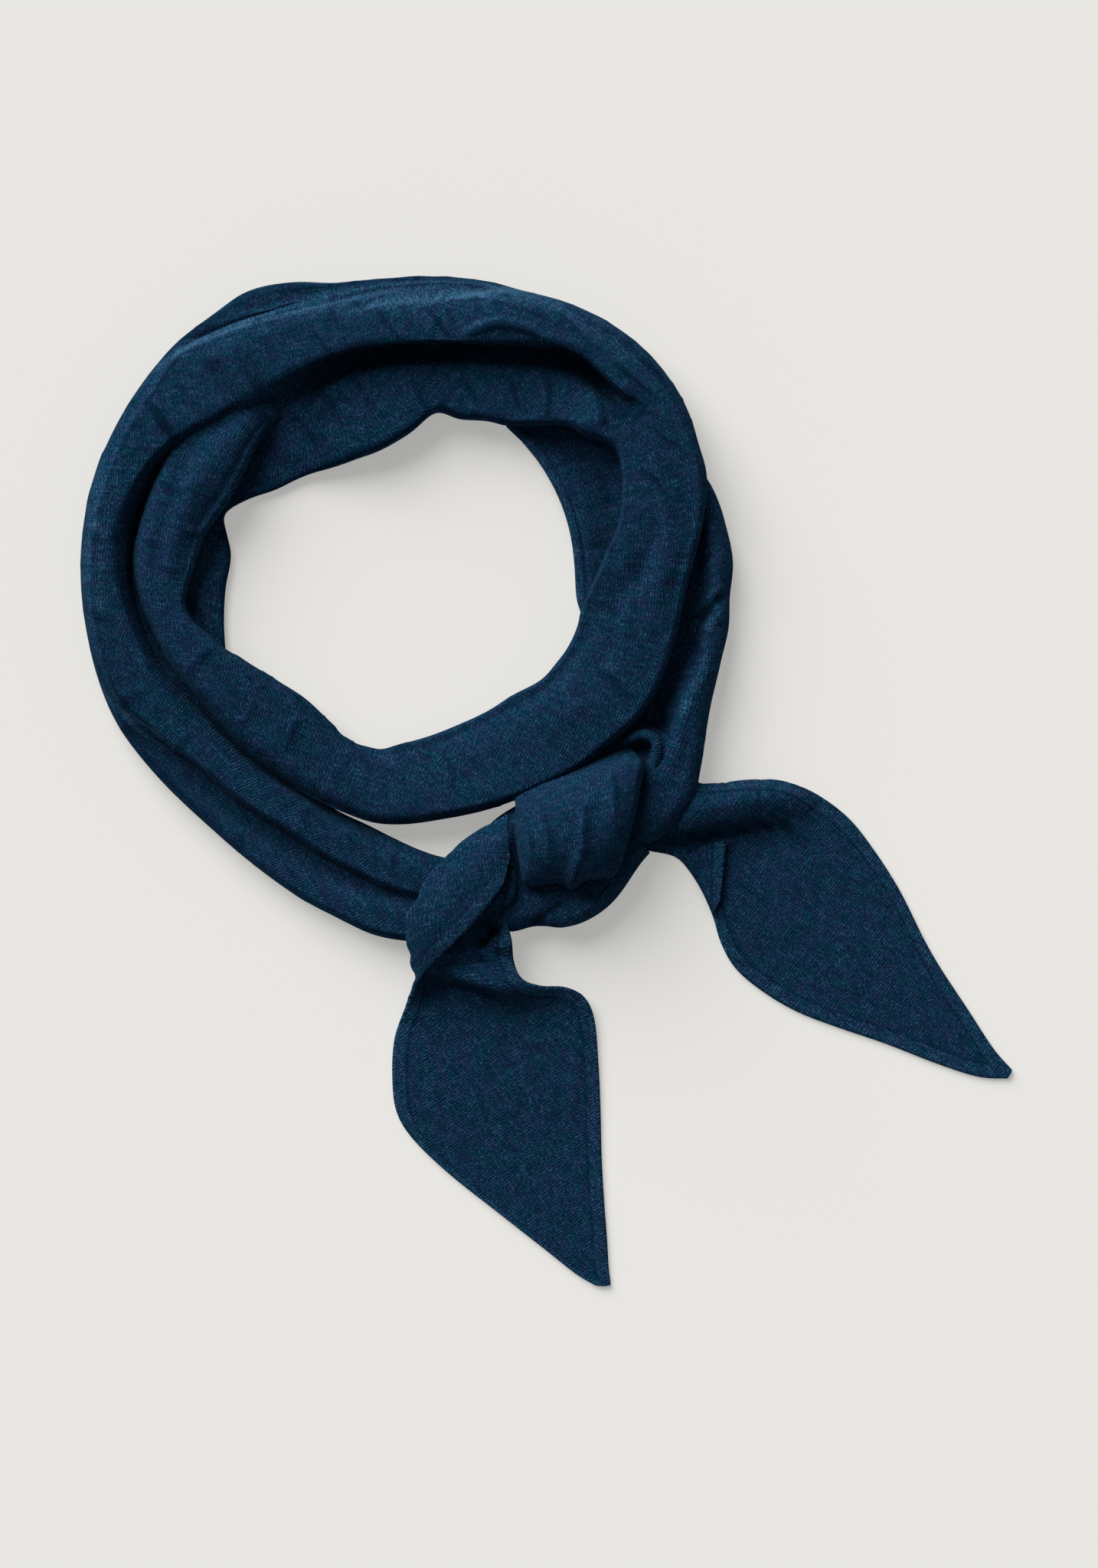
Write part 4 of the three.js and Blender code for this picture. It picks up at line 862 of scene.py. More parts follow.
def stack_height(x, y):
    """How high the stretches under the knot's own pieces stand round a place."""
    height = np.zeros(x.shape)
    for dx, dy in [(0, 0), (1, 0), (-1, 0), (0, 1), (0, -1)]:
        px, py = x + dx * STACK_REACH, y + dy * STACK_REACH
        angle, radius = np.degrees(np.arctan2(py, px)) % 360, np.hypot(px, py)
        for strand in (FIRST_TURN_LEFT, KNOT_UNDER, UNDER_TURN):
            height = np.maximum(height, strand.height_below(angle, radius))
    return np.where(height > 0, height + LAYER_GAP, 0)


# The band that wraps the knot, from its upper end behind the front turn down to where it tucks
# in: each section's two ends and middle, and its height in the middle and at its ends.
BAND_ENDS = np.array([
    [[35.4, -71.0], [54.5, -62.0], [74.8, -55.4]],
    [[37.2, -75.2], [57.6, -65.8], [78.4, -58.6]],
    [[36.9, -79.0], [57.6, -70.8], [80.8, -62.4]],
    [[37.1, -84.5], [57.4, -77.5], [79.7, -69.0]],
    [[37.6, -89.5], [57.2, -84.5], [78.3, -76.5]],
    [[38.4, -94.5], [56.8, -91.0], [76.2, -84.5]],
    [[39.1, -98.8], [56.2, -96.0], [74.3, -92.0]],
    [[39.9, -101.9], [55.6, -99.6], [72.4, -97.4]],
    [[42.2, -103.4], [55.2, -101.6], [69.6, -100.9]],
])
BAND_HEIGHTS = np.array([
    [9, 8], [19, 14], [26.5, 17], [30.5, 18], [31.5, 18], [30.5, 18], [27.5, 17], [23, 16],
    [18, 15],
])
BAND_ROUNDING = 0.24  # the share of its width over which each side rises
BAND_INSET = 0.04  # how far its feet stand in, as a share of its width
BAND_UNDERSIDE = 6  # no lower than this where nothing lies under it
BAND_ROWS = 70
BAND_SEED = 41
BAND_OFFSET = 60  # which part of the noise its unevenness is taken from
BAND_UNEVEN = 0.8  # how high that is, beside the other pieces'
BAND_CREASES = [
    (-1.5, 1.8, [(61.4, -75), (60.8, -83), (60, -89.5), (58.8, -94)]),
    (-3.2, 2.4, [(59, -92), (57.6, -96), (56.4, -100), (55.4, -106)]),
    (0.5, 2.4, [(66, -70), (66.4, -82), (64.4, -94)]),
    (-0.8, 1.6, [(47, -77), (48.6, -86), (48.4, -96)]),
    (-0.7, 0.7, [(79.4, -61.5), (78, -67), (76.6, -74), (74.8, -81.5), (72.4, -89.5)]),
    (-0.7, 1.1, [(70, -64.6), (71, -72), (70.4, -80)]),
    (-0.6, 1.1, [(41, -82), (43, -88), (43, -95)]),
]


def add_knot_band(material):
    shares = np.linspace(0, 1, BAND_ROWS)
    ends = through(BAND_ENDS, shares)
    height, side = through(BAND_HEIGHTS, shares).T[:, :, None]
    t = FINE_SHARES
    weights = np.stack([(1 - t) * (1 - 2 * t), 4 * t * (1 - t), t * (2 * t - 1)])
    place = np.einsum("rkc,kt->rtc", ends, weights)
    near = 1 - np.clip(np.minimum(t, 1 - t) / BAND_ROUNDING, 0, 1)
    top = side + (height - side) * np.sqrt(1 - near * near)
    base = np.maximum(stack_height(place[..., 0], place[..., 1]), BAND_UNDERSIDE)
    inset = BAND_INSET * (1 - np.cos(FOOT_TURN))
    shares_under = np.linspace(1 - BAND_INSET, BAND_INSET, UNDER_POINTS)[1:-1]
    rings = []
    for flat, high, low in zip(place, top, base):
        over = spaced(np.column_stack([flat, high]), TOP_POINTS)
        feet = []
        for edge, shares_in in [(high[-1], 1 - inset), (high[0], inset)]:
            x, y, ground = (np.interp(shares_in, t, column) for column in (*flat.T, low))
            feet.append(np.stack([x, y, edge - (edge - ground) * np.sin(FOOT_TURN)], axis=-1))
        under = [np.interp(shares_under, t, column) for column in (*flat.T, low)]
        rings.append(np.concatenate([over, feet[0], np.stack(under, axis=-1), feet[1][::-1]]))
    grid = np.array(rings)
    across = lengths_across(np.concatenate([grid, grid[:, :1]], axis=1))
    across -= across[:, TOP_POINTS // 2, None]
    along = np.repeat(lengths_along(grid[:, TOP_POINTS // 2])[:, None], across.shape[1], axis=1)
    rise = undulation(along[:, :-1], across[:, :-1] + BAND_OFFSET, BAND_SEED, BAND_UNEVEN)
    rise += crease_rise(grid[..., 0], grid[..., 1], BAND_CREASES)
    # The ribs run down the band, so its second coordinate counts across it.
    uv = np.stack([along, across], axis=-1)
    place_at = lambda row, middle: [np.interp(middle, t, place[row, :, k]) for k in (0, 1)]
    share = np.broadcast_to(t, top.shape)
    _, lining = lining_sections(share, top, base, BAND_WINDOW, place_at)
    return add_shell("knot_band_cloth", raised(grid, rise), lining, uv, material)


# The small roll of cloth that turns round the band's upper corner.
ROLL_ROUTE = [
    [74.2, -54.6, 12.5], [77.4, -52.8, 14.5], [81.4, -52.2, 15.8], [84.3, -54.2, 16.2],
    [85, -57.6, 16], [84.3, -61.6, 14.6], [83, -66, 12],
]
ROLL_RADIUS = 1.7  # of its outer end, to the middle of the cloth
ROLL_TURNS = 1.35
ROLL_START = 0.2  # how far below the side its cloth starts, in half turns
ROLL_TIGHTENING = 0.95  # how much smaller the radius of its inner end is
ROLL_TAPER = 0.25  # how much thinner its two ends are
ROLL_WALL = 0.75
ROLL_ROWS = 60
ROLL_POINTS = 48


def add_knot_roll(material):
    route = through(ROLL_ROUTE, np.linspace(0, 1, ROLL_ROWS))
    tangent = np.gradient(route, axis=0)
    tangent /= np.linalg.norm(tangent, axis=-1, keepdims=True)
    side = np.cross([0, 0, 1], tangent)
    side /= np.linalg.norm(side, axis=-1, keepdims=True)
    up = np.cross(tangent, side)
    turn = np.linspace(-ROLL_START, 2 * ROLL_TURNS - ROLL_START, ROLL_POINTS) * math.pi
    radius = np.linspace(ROLL_RADIUS, ROLL_RADIUS - ROLL_TIGHTENING, ROLL_POINTS)
    taper = 1 - ROLL_TAPER * np.abs(np.linspace(-1, 1, ROLL_ROWS)) ** 3
    grid = route[:, None] + taper[:, None, None] * radius[:, None] * (
        np.cos(turn)[:, None] * side[:, None] + np.sin(turn)[:, None] * up[:, None])
    along = np.repeat(lengths_along(route)[:, None], ROLL_POINTS, axis=1)
    uv = np.stack([lengths_across(grid), along], axis=-1)
    return add_wall("knot_roll_cloth", grid, ROLL_WALL, uv, material)


# ---- the tails ----
# Each row of a tail's tables is a section across it, as points on the middle of the cloth, from
# one hem to the other. Points are [x, y, height].

LEFT_TAIL_ROWS = [
    # front hem, front, fold, back, back hem
    [[35.3, -93.5, 20.5], [34.6, -86, 21], [34.8, -79.6, 17.5], [34.4, -88, 14.2],
     [36.3, -98.5, 16.5]],
    [[33.2, -101.2, 21], [27, -92, 21.5], [24.4, -85, 17], [30, -95, 14], [37.0, -104.6, 15.6]],
    [[28.6, -107.9, 21], [19.5, -99.5, 21], [14.3, -93.4, 16.8], [24, -103, 13.8],
     [34.4, -108.8, 14.6]],
    [[22.1, -115.7, 20], [13, -108, 20.5], [6.5, -102.4, 16.8], [18, -110, 13.6],
     [31.2, -112.6, 13]],
    [[14.3, -123.5, 18], [6.5, -117, 19], [0.5, -113.4, 15.8], [15, -117, 11.5],
     [33.2, -115.6, 10]],
    [[8.8, -129, 14.5], [4, -125, 15.5], [0.7, -122, 12.5], [16, -122.5, 7.5], [35.3, -121.5, 8]],
    [[5, -133.5, 11], [3.4, -131, 11], [2.2, -130, 9], [20, -128, 9.5], [36.1, -129, 9]],
    # left hem, middle, right hem
    [[3.2, -137, 7.6], [8, -135.4, 4], [14, -133.6, 5.6], [24, -134.6, 11.5], [33, -136.4, 11.4],
     [39, -134.8, 10.4]],
    [[1.6, -142, 4.6], [8, -141, 1.6], [16, -139.6, 1.4], [26, -141, 1.6], [38, -142.8, 4],
     [45, -137.6, 8.5]],
    [[-0.6, -147.5, 2.2], [24, -146.4, 1.1], [42, -147, 1.6], [53.4, -138, 6]],
    [[-2.8, -153.5, 1], [28, -149.5, 1], [59.6, -140.8, 4.2]],
    [[-3.7, -159.5, 1], [30, -157, 1.4], [63, -147, 2.6]],
    [[-3.9, -168.5, 1], [30, -168, 2], [64.6, -162, 1.6]],
    [[-2.8, -179, 1], [31, -180.5, 1.8], [65.4, -179, 1.2]],
    [[1.2, -187, 1], [34, -192.5, 1.4], [65.8, -196, 1.2]],
    [[13, -199.2, 1], [41, -205.5, 1.2], [66.7, -211, 1]],
    [[30.4, -213.2, 1], [50, -219, 1], [67.7, -224, 1]],
    [[48, -227, 1], [59, -230.5, 1], [68.2, -232.8, 1]],
    [[59, -235.6, 1], [64.4, -236.7, 1], [68.7, -237, 1]],
    [[65, -239, 1], [67, -239.2, 1], [68.8, -239, 1]],
]
LEFT_TAIL_FLAT_ROW = 11  # from here on the leaf lies flat
LEFT_RIB_SLOPE = 33  # degrees, the way its ribs run

RIGHT_TAIL_ROWS = [
    # upper, crest, lip, foot, middle, lower
    [[95, -66.2, 6], [94.4, -73, 9.5], [88.4, -80.6, 7.5], [85.6, -83.6, 3.6], [81.6, -86.8, 2.4],
     [76.6, -89.8, 1.6]],
    [[99.6, -69.2, 7], [99.7, -75.4, 12.5], [93.2, -83.6, 9], [91.4, -85.8, 3], [88.6, -88.8, 1.8],
     [84.6, -91.3, 1]],
    [[102.4, -69.4, 7], [102, -75.8, 12.3], [98, -83.4, 9], [97.4, -85.4, 2.4],
     [94.6, -89.4, 1.2], [92.2, -93, 1]],
    [[106.6, -69.1, 6.5], [106, -75, 12], [103.8, -82.4, 8.5], [103.4, -84.6, 2], [101, -92, 1],
     [97.4, -98.8, 1]],
    [[115, -68, 6], [114.5, -74, 11], [113.5, -81, 8], [113.3, -83.2, 1.8], [108, -95, 1.2],
     [102, -106.8, 1]],
    [[123.5, -67.7, 5.5], [123.2, -73, 9.5], [122, -80, 6.5], [122, -82, 1.8], [114.5, -99, 1.4],
     [105, -114.2, 1]],
    [[131.2, -69.2, 4.5], [130.6, -74.4, 7], [129.5, -80.5, 4.5], [129, -83, 2.4],
     [119.5, -103, 1.6], [107.1, -121.4, 1]],
    # upper, middle, lower
    [[140.4, -73.5, 3], [126, -106, 1.8], [111.9, -130.3, 1]],
    [[150.3, -81.2, 1.8], [135, -110.5, 1.9], [121, -138.2, 1]],
    [[158.7, -91.8, 1.2], [145, -119.5, 1.8], [132.7, -145.2, 1]],
    [[167.4, -105.4, 1], [157, -129, 1.6], [147.2, -150.8, 1]],
    [[178, -126.5, 1], [170.5, -142.5, 1.3], [162.6, -156, 1]],
    [[191, -146.6, 1], [186, -156, 1], [182.2, -163.6, 1]],
    [[199.8, -160, 1], [197.6, -164.2, 1], [195.8, -167.7, 1]],
    [[205.6, -166.4, 1], [205.3, -167.2, 1], [204.7, -168.1, 1]],
]
RIGHT_RIB_SLOPE = 54

# The strip's lower edge, turned over onto the leaf beside the knot: fold, middle and hem.
TURNED_ROWS = [
    [[94.4, -92.2, 3.5], [101.5, -89.6, 4], [108, -87.4, 4.6]],
    [[97.9, -99, 3.4], [103, -96, 3.6], [107.7, -93.5, 4.1]],
    [[101.5, -106, 3.4], [104.4, -103.4, 3.5], [107.1, -101, 3.8]],
    [[104.1, -112, 3.4], [105.3, -110.2, 3.4], [106.4, -108.5, 3.6]],
]

SOLID_WALL = 2.0  # the tails' solids, whose middle surface the tables give
SETTLE_HEIGHT = 3  # cloth this much above the table isn't brought down to it
SECTION_POINTS = 200  # where a section is worked out before its points are spaced
TAIL_POINTS = 90  # across a tail
TURNED_POINTS = 30
LEFT_STEPS = 14  # from one row of its table to the next
RIGHT_STEPS = 16
TAIL_BLUR = 2.5  # over how many sections a tail is smoothed along its length
LEFT_TAIL_CREASES = [
    (-7.5, 3.6, [(31.4, -111.4), (29.4, -117), (25, -125.4)]),
    (-1.6, 2.4, [(7, -136.4), (14, -137.6), (22, -139), (30, -140.6), (37, -141.4)]),
    (0.9, 1.6, [(9, -129.6), (14.3, -131.4), (19.5, -133.8), (28.6, -136.4), (39, -139.6)]),
    (-0.8, 2.4, [(28.6, -146), (32.5, -151.5), (33.8, -160), (39, -166)]),
    (-0.5, 2.0, [(10, -160), (17, -166), (20, -174)]),
    (0.7, 2.6, [(22, -150), (26, -158), (27, -168)]),
    (-0.4, 1.6, [(47, -176), (44, -186), (46, -194)]),
    (0.5, 3.2, [(54, -150), (57, -164), (56, -182)]),
    (-0.4, 1.8, [(32, -196), (40, -201), (49, -202)]),
]
RIGHT_TAIL_CREASES = [
    (-0.9, 2.4, [(126, -81), (133.9, -90), (139, -94)]),
    (-0.6, 0.8, [(108.7, -67), (108.4, -71), (108.8, -75)]),
    (-0.6, 0.9, [(120.4, -67), (120, -72.6), (120.8, -78)]),
    (-0.5, 2.0, [(128, -104), (136, -110), (141, -119)]),
    (0.6, 3.0, [(118, -98), (128, -112), (140, -124)]),
    (-0.5, 1.8, [(150, -100), (152, -110), (158, -118)]),
    (0.5, 2.6, [(150, -92), (160, -104), (170, -122)]),
    (-0.4, 1.6, [(166, -138), (172, -140), (178, -146)]),
]


def tail_grid(rows, across, per_row):
    """The middle surface of a tail's cloth, spaced evenly across and smooth along."""
    shares = np.linspace(0, 1, SECTION_POINTS)
    lines = np.array([spaced(through(row, shares), across) for row in rows])
    return through(lines, np.linspace(0, 1, (len(rows) - 1) * per_row + 1))


def settled(grid):
    """The thinner cloth brought down to the table where its solid lies on it."""
    low = np.clip(1 - (grid[..., 2] - SOLID_WALL / 2) / SETTLE_HEIGHT, 0, 1)
    lower = (SOLID_WALL - TAIL_WALL) / 2
    return np.concatenate([grid[..., :2], (grid[..., 2] - lower * low)[..., None]], axis=-1)


def hem_distances(grid):
    """How far each place of a tail is from its nearest hem."""
    across = lengths_across(grid)
    return np.minimum(across, across[:, -1:] - across)


def add_wall(name, middle, wall, uv, material, hem=None):
    """A sheet of cloth: both sides of its middle surface, with rounded edges."""
    rows, columns = middle.shape[:2]
    normal = grid_normals(middle, False)
    half = np.full((rows, columns, 1), wall / 2)
    if hem is not None:
        half = half + (HEM_EXTRA / 2) * smoothstep(HEM_WIDTH + HEM_FADE - hem[..., None])
    upper, lower = middle + normal * half, middle - normal * half
    turn = np.linspace(0, math.pi, RIM_POINTS + 2)[1:-1][:, None, None]
    rims = []
    for column, inward in [(-1, -2), (0, 1)]:
        out = middle[:, column] - middle[:, inward]
        out /= np.maximum(np.linalg.norm(out, axis=-1, keepdims=True), 1e-9)
        lift = normal[:, column] * half[:, column]
        reach = out * half[:, column]
        rim = middle[:, column] + lift * np.cos(turn) + reach * np.sin(turn)
        rims.append(rim.transpose(1, 0, 2))
    ring = np.concatenate([upper, rims[0], lower[:, ::-1], rims[1][:, ::-1]], axis=1)
    ring[..., 2] = np.maximum(ring[..., 2], 0)
    count = ring.shape[1]
    over = np.arange(columns)
    picked = np.concatenate([over, [columns - 1] * RIM_POINTS, over[::-1], [0] * RIM_POINTS])
    faces, face_rows, face_columns = quads(rows, count, 0)
    corner_uv = list(uv[face_rows, picked[face_columns % count]])
    faces = list(faces)
    partner = [(i, 2 * columns + RIM_POINTS - 1 - i) for i in range(columns)]
    for row, flip in [(0, True), (rows - 1, False)]:
        start = row * count
        left_rim = list(range(count - RIM_POINTS, count))
        right_rim = list(range(columns, columns + RIM_POINTS))
        strip = [[partner[i][0], partner[i + 1][0], partner[i + 1][1], partner[i][1]]
                 for i in range(columns - 1)]
        strip.append([partner[0][1], *left_rim, partner[0][0]])
        strip.append([partner[-1][0], *right_rim, partner[-1][1]])
        for corners in strip:
            face = [start + corner for corner in corners]
            faces.append(face[::-1] if flip else face)
            corner_uv.append(uv[row, picked[corners]])
    values = None if hem is None else np.take(hem, picked, axis=1).ravel()
    fold = np.take(proud(middle, normal, False), picked, axis=1)
    fold[:, columns : 2 * columns + RIM_POINTS] *= -1
    return add_mesh(name, ring.reshape(-1, 3), faces, corner_uv, material, fold.ravel(), values)


def along_ribs(x, y, slope):
    """Flat places as distances along the ribs and across them."""
    turn = math.radians(slope)
    u = x * math.cos(turn) + y * math.sin(turn)
    v = -x * math.sin(turn) + y * math.cos(turn)
    return np.stack([u, v], axis=-1)


def add_tail(name, grid, uv, creases, material, seed, folded=False):
    """A tail's cloth, creased and uneven. Where it is folded, both its layers rise upwards."""
    hem = hem_distances(grid)
    grid = settled(grid)
    rise = undulation(uv[..., 0], uv[..., 1], seed)
    rise += crease_rise(grid[..., 0], grid[..., 1], creases)
    normal = grid_normals(grid, False)
    upward = np.clip(3 * normal[..., 2:], -1, 1) if folded else 1
    grid = grid + normal * upward * rise[..., None]
    grid[..., 2] = np.maximum(grid[..., 2], (TAIL_WALL + HEM_EXTRA) / 2)
    return add_wall(name, grid, TAIL_WALL, uv, material, hem)


def add_left_tail(material):
    grid = tail_grid(LEFT_TAIL_ROWS, TAIL_POINTS, LEFT_STEPS)
    flat = LEFT_TAIL_FLAT_ROW * LEFT_STEPS
    least = stack_height(grid[..., 0], grid[..., 1])
    grid[..., 2] = np.maximum(grid[..., 2], least + SOLID_WALL / 2)
    grid = blurred(grid, TAIL_BLUR)
    across = lengths_across(grid)
    x, y = grid[..., 0].copy(), grid[..., 1].copy()
    middle = grid.shape[1] // 2
    down = lengths_along(grid[: flat + 1]).mean(axis=1, keepdims=True)
    y[:flat] = y[flat] + (down[flat] - down[:flat])
    x[:flat] = x[flat, middle] + across[:flat] - across[:flat, middle, None]
    uv = along_ribs(x, y, LEFT_RIB_SLOPE)
    return add_tail("left_tail_cloth", grid, uv, LEFT_TAIL_CREASES, material, 61, folded=True)


def add_right_tail(material):
    grid = blurred(tail_grid(RIGHT_TAIL_ROWS, TAIL_POINTS, RIGHT_STEPS), TAIL_BLUR)
    across = lengths_across(grid)
    uv = along_ribs(grid[..., 0], grid[:, -1:, 1] + across[:, -1:] - across, RIGHT_RIB_SLOPE)
    return add_tail("right_tail_cloth", grid, uv, RIGHT_TAIL_CREASES, material, 71)


def add_turned_edge(material):
    grid = tail_grid(TURNED_ROWS, TURNED_POINTS, RIGHT_STEPS)
    uv = along_ribs(grid[..., 0], grid[..., 1], 90 - RIGHT_RIB_SLOPE)
    across = lengths_across(grid)
    return add_wall("turned_edge_cloth", grid, TAIL_WALL, uv, material, across[:, -1:] - across)


# ---- the wool ----


class Graph:
    """Short calls for a material's nodes; an input is a number, a colour or an output."""

    def __init__(self, material):
        self.tree = material.node_tree
        self.tree.nodes.clear()

    def add(self, kind, inputs=(), **settings):
        node = self.tree.nodes.new(kind)
        for name, value in settings.items():
            setattr(node, name, value)
        for socket, value in dict(inputs).items():
            self.set(node.inputs[socket], value)
        return node

    def set(self, socket, value):
        if isinstance(value, bpy.types.NodeSocket):
            self.tree.links.new(value, socket)
        else:
            socket.default_value = value

    def math(self, operation, *values):
        return self.add("ShaderNodeMath", enumerate(values), operation=operation).outputs[0]

    def vector(self, operation, a, b):
        return self.add("ShaderNodeVectorMath", {0: a, 1: b}, operation=operation).outputs[0]

    def noise(self, place, scale, detail=2.0, roughness=0.5):
        inputs = {"Vector": place, "Scale": scale, "Detail": detail, "Roughness": roughness}
        return self.add("ShaderNodeTexNoise", inputs).outputs["Fac"]

    def mix(self, share, a, b):
        inputs = {0: share, 6: a, 7: b}
        return self.add("ShaderNodeMix", inputs, data_type="RGBA").outputs[2]

    def ramp(self, share, low, high):
        """0 below low, 1 above high, and smooth between them."""
        inputs = {"Value": share, "From Min": low, "From Max": high}
        node = self.add("ShaderNodeMapRange", inputs, interpolation_type="SMOOTHSTEP")
        return node.outputs["Result"]


RIB_PERIOD = 0.92
STITCH_PERIOD = 0.78
SWAY = 1.7  # the range over which the ribs sway, and how many times in a mm
SWAY_SCALE = 0.16
JITTER = 0.8  # and the same for their small unevenness
JITTER_SCALE = 0.9
HUE_SHIFT = (37.0, 11.0, 5.0)  # so that the two blues don't follow the flecks
KNIT_DEPTH = 0.00028  # in metres

GROOVE_BLUE = (0.0014, 0.0075, 0.0170, 1)
TEAL_BLUE = (0.0024, 0.0255, 0.0530, 1)
VIOLET_BLUE = (0.0080, 0.0195, 0.0580, 1)
PALE_BLUE = (0.0480, 0.1400, 0.2400, 1)


def wool_knit():
    """Fine knitted wool, two blues spun together, its ribs along the first uv coordinate."""
    material = bpy.data.materials.new("wool_knit")
    material.use_nodes = True
    g = Graph(material)
    uv = g.add("ShaderNodeUVMap", uv_map="cloth").outputs[0]
    place = g.vector("MULTIPLY", uv, (1 / MM, 1 / MM, 0))
    centred = lambda value: g.math("SUBTRACT", value, 0.5)
    wave = lambda turn: g.math("MULTIPLY_ADD", g.math("COSINE", turn), 0.5, 0.5)
    stretched = lambda long, wide: g.vector("MULTIPLY", place, (long, wide, 0))
    sway = g.math("MULTIPLY", centred(g.noise(place, SWAY_SCALE)), SWAY)
    jitter = g.math("MULTIPLY", centred(g.noise(place, JITTER_SCALE)), JITTER)
    split = g.add("ShaderNodeSeparateXYZ", {0: place})
    along, across = split.outputs[0], split.outputs[1]
    moved = g.math("ADD", g.math("ADD", across, sway), jitter)
    rib_turn = g.math("MULTIPLY", moved, 2 * math.pi / RIB_PERIOD)
    rib = wave(rib_turn)
    slant = g.math("PINGPONG", g.math("DIVIDE", moved, RIB_PERIOD), 0.5)
    stitch_turn = g.math("MULTIPLY", g.math("ADD", g.math("DIVIDE", along, STITCH_PERIOD), slant),
                         2 * math.pi)
    stitch = wave(stitch_turn)
    hem_distance, fold, painted_line_highlight = (
        g.add("ShaderNodeAttribute", attribute_name=name).outputs["Fac"]
        for name in ("hem_distance", "fold", "painted_line_highlight")
    )
    # Painted highlight on every crest and rolled edge, and painted shade in every hollow and trough,
    # worked out from how far each place stands out of the cloth.
    painted_crest_highlight = g.ramp(fold, 0.5, 2.0)
    painted_hollow_shade = g.ramp(g.math("MULTIPLY", fold, -1.0), 0.1, 1.3)
    hem = g.math("SUBTRACT", 1.0, g.ramp(hem_distance, HEM_WIDTH - 0.8, HEM_WIDTH + 0.2))
    seam_far = g.math("ABSOLUTE", g.math("SUBTRACT", hem_distance, HEM_WIDTH + 0.1))
    seam = g.math("SUBTRACT", 1.0, g.ramp(seam_far, 0.0, 0.9))
    # Flecks of the two yarns, drawn out along the ribs, thick and thin rows across them, and
    # clouds where one yarn shows more.
    fleck = g.noise(stretched(0.75, 1.5), 1.0, 2.0, 0.6)
    fibre = g.noise(stretched(1.5, 3.4), 1.0, 2.0, 0.7)
    row = g.noise(stretched(1.5, 0.13), 1.0, 2.0, 0.6)
    cloud = g.noise(place, 0.26, 4.0, 0.62)
    hue = g.noise(g.vector("ADD", stretched(0.8, 0.3), HUE_SHIFT), 0.5, 3.0, 0.6)
    knit = g.math("MULTIPLY_ADD", rib, 0.66, g.math("MULTIPLY", stitch, 0.34))
    lift = g.math("MULTIPLY_ADD", knit, 0.19, g.math("MULTIPLY", fleck, 0.85))
    # The painted crest highlight, the painted highlight along the given lines and the painted hollow
    # shade go into the same lift as the yarn's flecks.
    for part, weight in [(fibre, 1.15), (row, 0.42), (cloud, 0.42), (hem, 0.06), (seam, -0.12),
                         (painted_crest_highlight, 0.14), (painted_line_highlight, 0.34), (painted_hollow_shade, -0.22)]:
        lift = g.math("MULTIPLY_ADD", part, weight, lift)
    body = g.mix(g.ramp(hue, 0.38, 0.62), TEAL_BLUE, VIOLET_BLUE)
    dark = g.mix(g.ramp(lift, 1.08, 1.68), GROOVE_BLUE, body)
    colour = g.mix(g.ramp(lift, 1.48, 2.20), dark, PALE_BLUE)
    fuzz = g.noise(place, 3.4, 3.0, 0.6)
    height = g.math("MULTIPLY_ADD", fuzz, 0.35, g.math("MULTIPLY", knit, 0.85))
    bump = g.add("ShaderNodeBump", {"Height": height, "Distance": KNIT_DEPTH, "Strength": 1.0})
    shader = g.add("ShaderNodeBsdfPrincipled", {
        "Base Color": colour, "Roughness": 0.9, "Specular IOR Level": 0.0,
        "Sheen Weight": 0.02, "Sheen Roughness": 0.5, "Sheen Tint": (0.35, 0.7, 1.0, 1.0),
        "Normal": bump.outputs[0],
    })
    output = g.add("ShaderNodeOutputMaterial", {"Surface": shader.outputs[0]})
    output.is_active_output = True
    return material


# ---- creases, ribs and pieces ----

# The thin crests over the left shoulder and along the top, and the lower left pleat's.
OUTER_CREST = [(-91.3, 64), (-84.5, 72), (-74.9, 78.3), (-65, 82.4), (-55.6, 85.8), (-43.4, 89.2),
               (-29.6, 92.6), (-16.1, 96), (-4, 98), (8, 99.4), (20, 101)]
INNER_CREST = [(-24, 89.6), (-18.2, 90.5), (-7.8, 93), (2.6, 94.1), (18.2, 96.2), (28.6, 97.8),
               (40, 98.4), (50, 96)]
LOWER_CREST = [(-108.6, -24.4), (-104, -35), (-98.8, -42.4), (-86, -50.4), (-74, -58.5),
               (-68, -62.4)]
# Painted highlight along the crests that face the light: how much paler, how wide, and the route.
PAINTED_HIGHLIGHT_LINES = [
    (0.55, 1.2, OUTER_CREST), (0.3, 4.0, OUTER_CREST), (0.45, 1.4, INNER_CREST),
    (0.3, 4.0, INNER_CREST), (0.5, 1.3, LOWER_CREST),
    (0.5, 2.4, [(-72, 88), (-62, 93), (-50, 96.4), (-36, 99.4), (-20, 101)]),
    (0.4, 5.0, [(20, 99), (38, 97), (54, 92.6), (70, 83), (84, 69)]),
    (0.35, 5.0, [(-96, 50), (-102, 34), (-105, 16), (-105, -4), (-103, -22)]),
    (0.3, 4.0, [(-66, 20), (-68.6, 8), (-68, -6), (-62, -20)]),
]
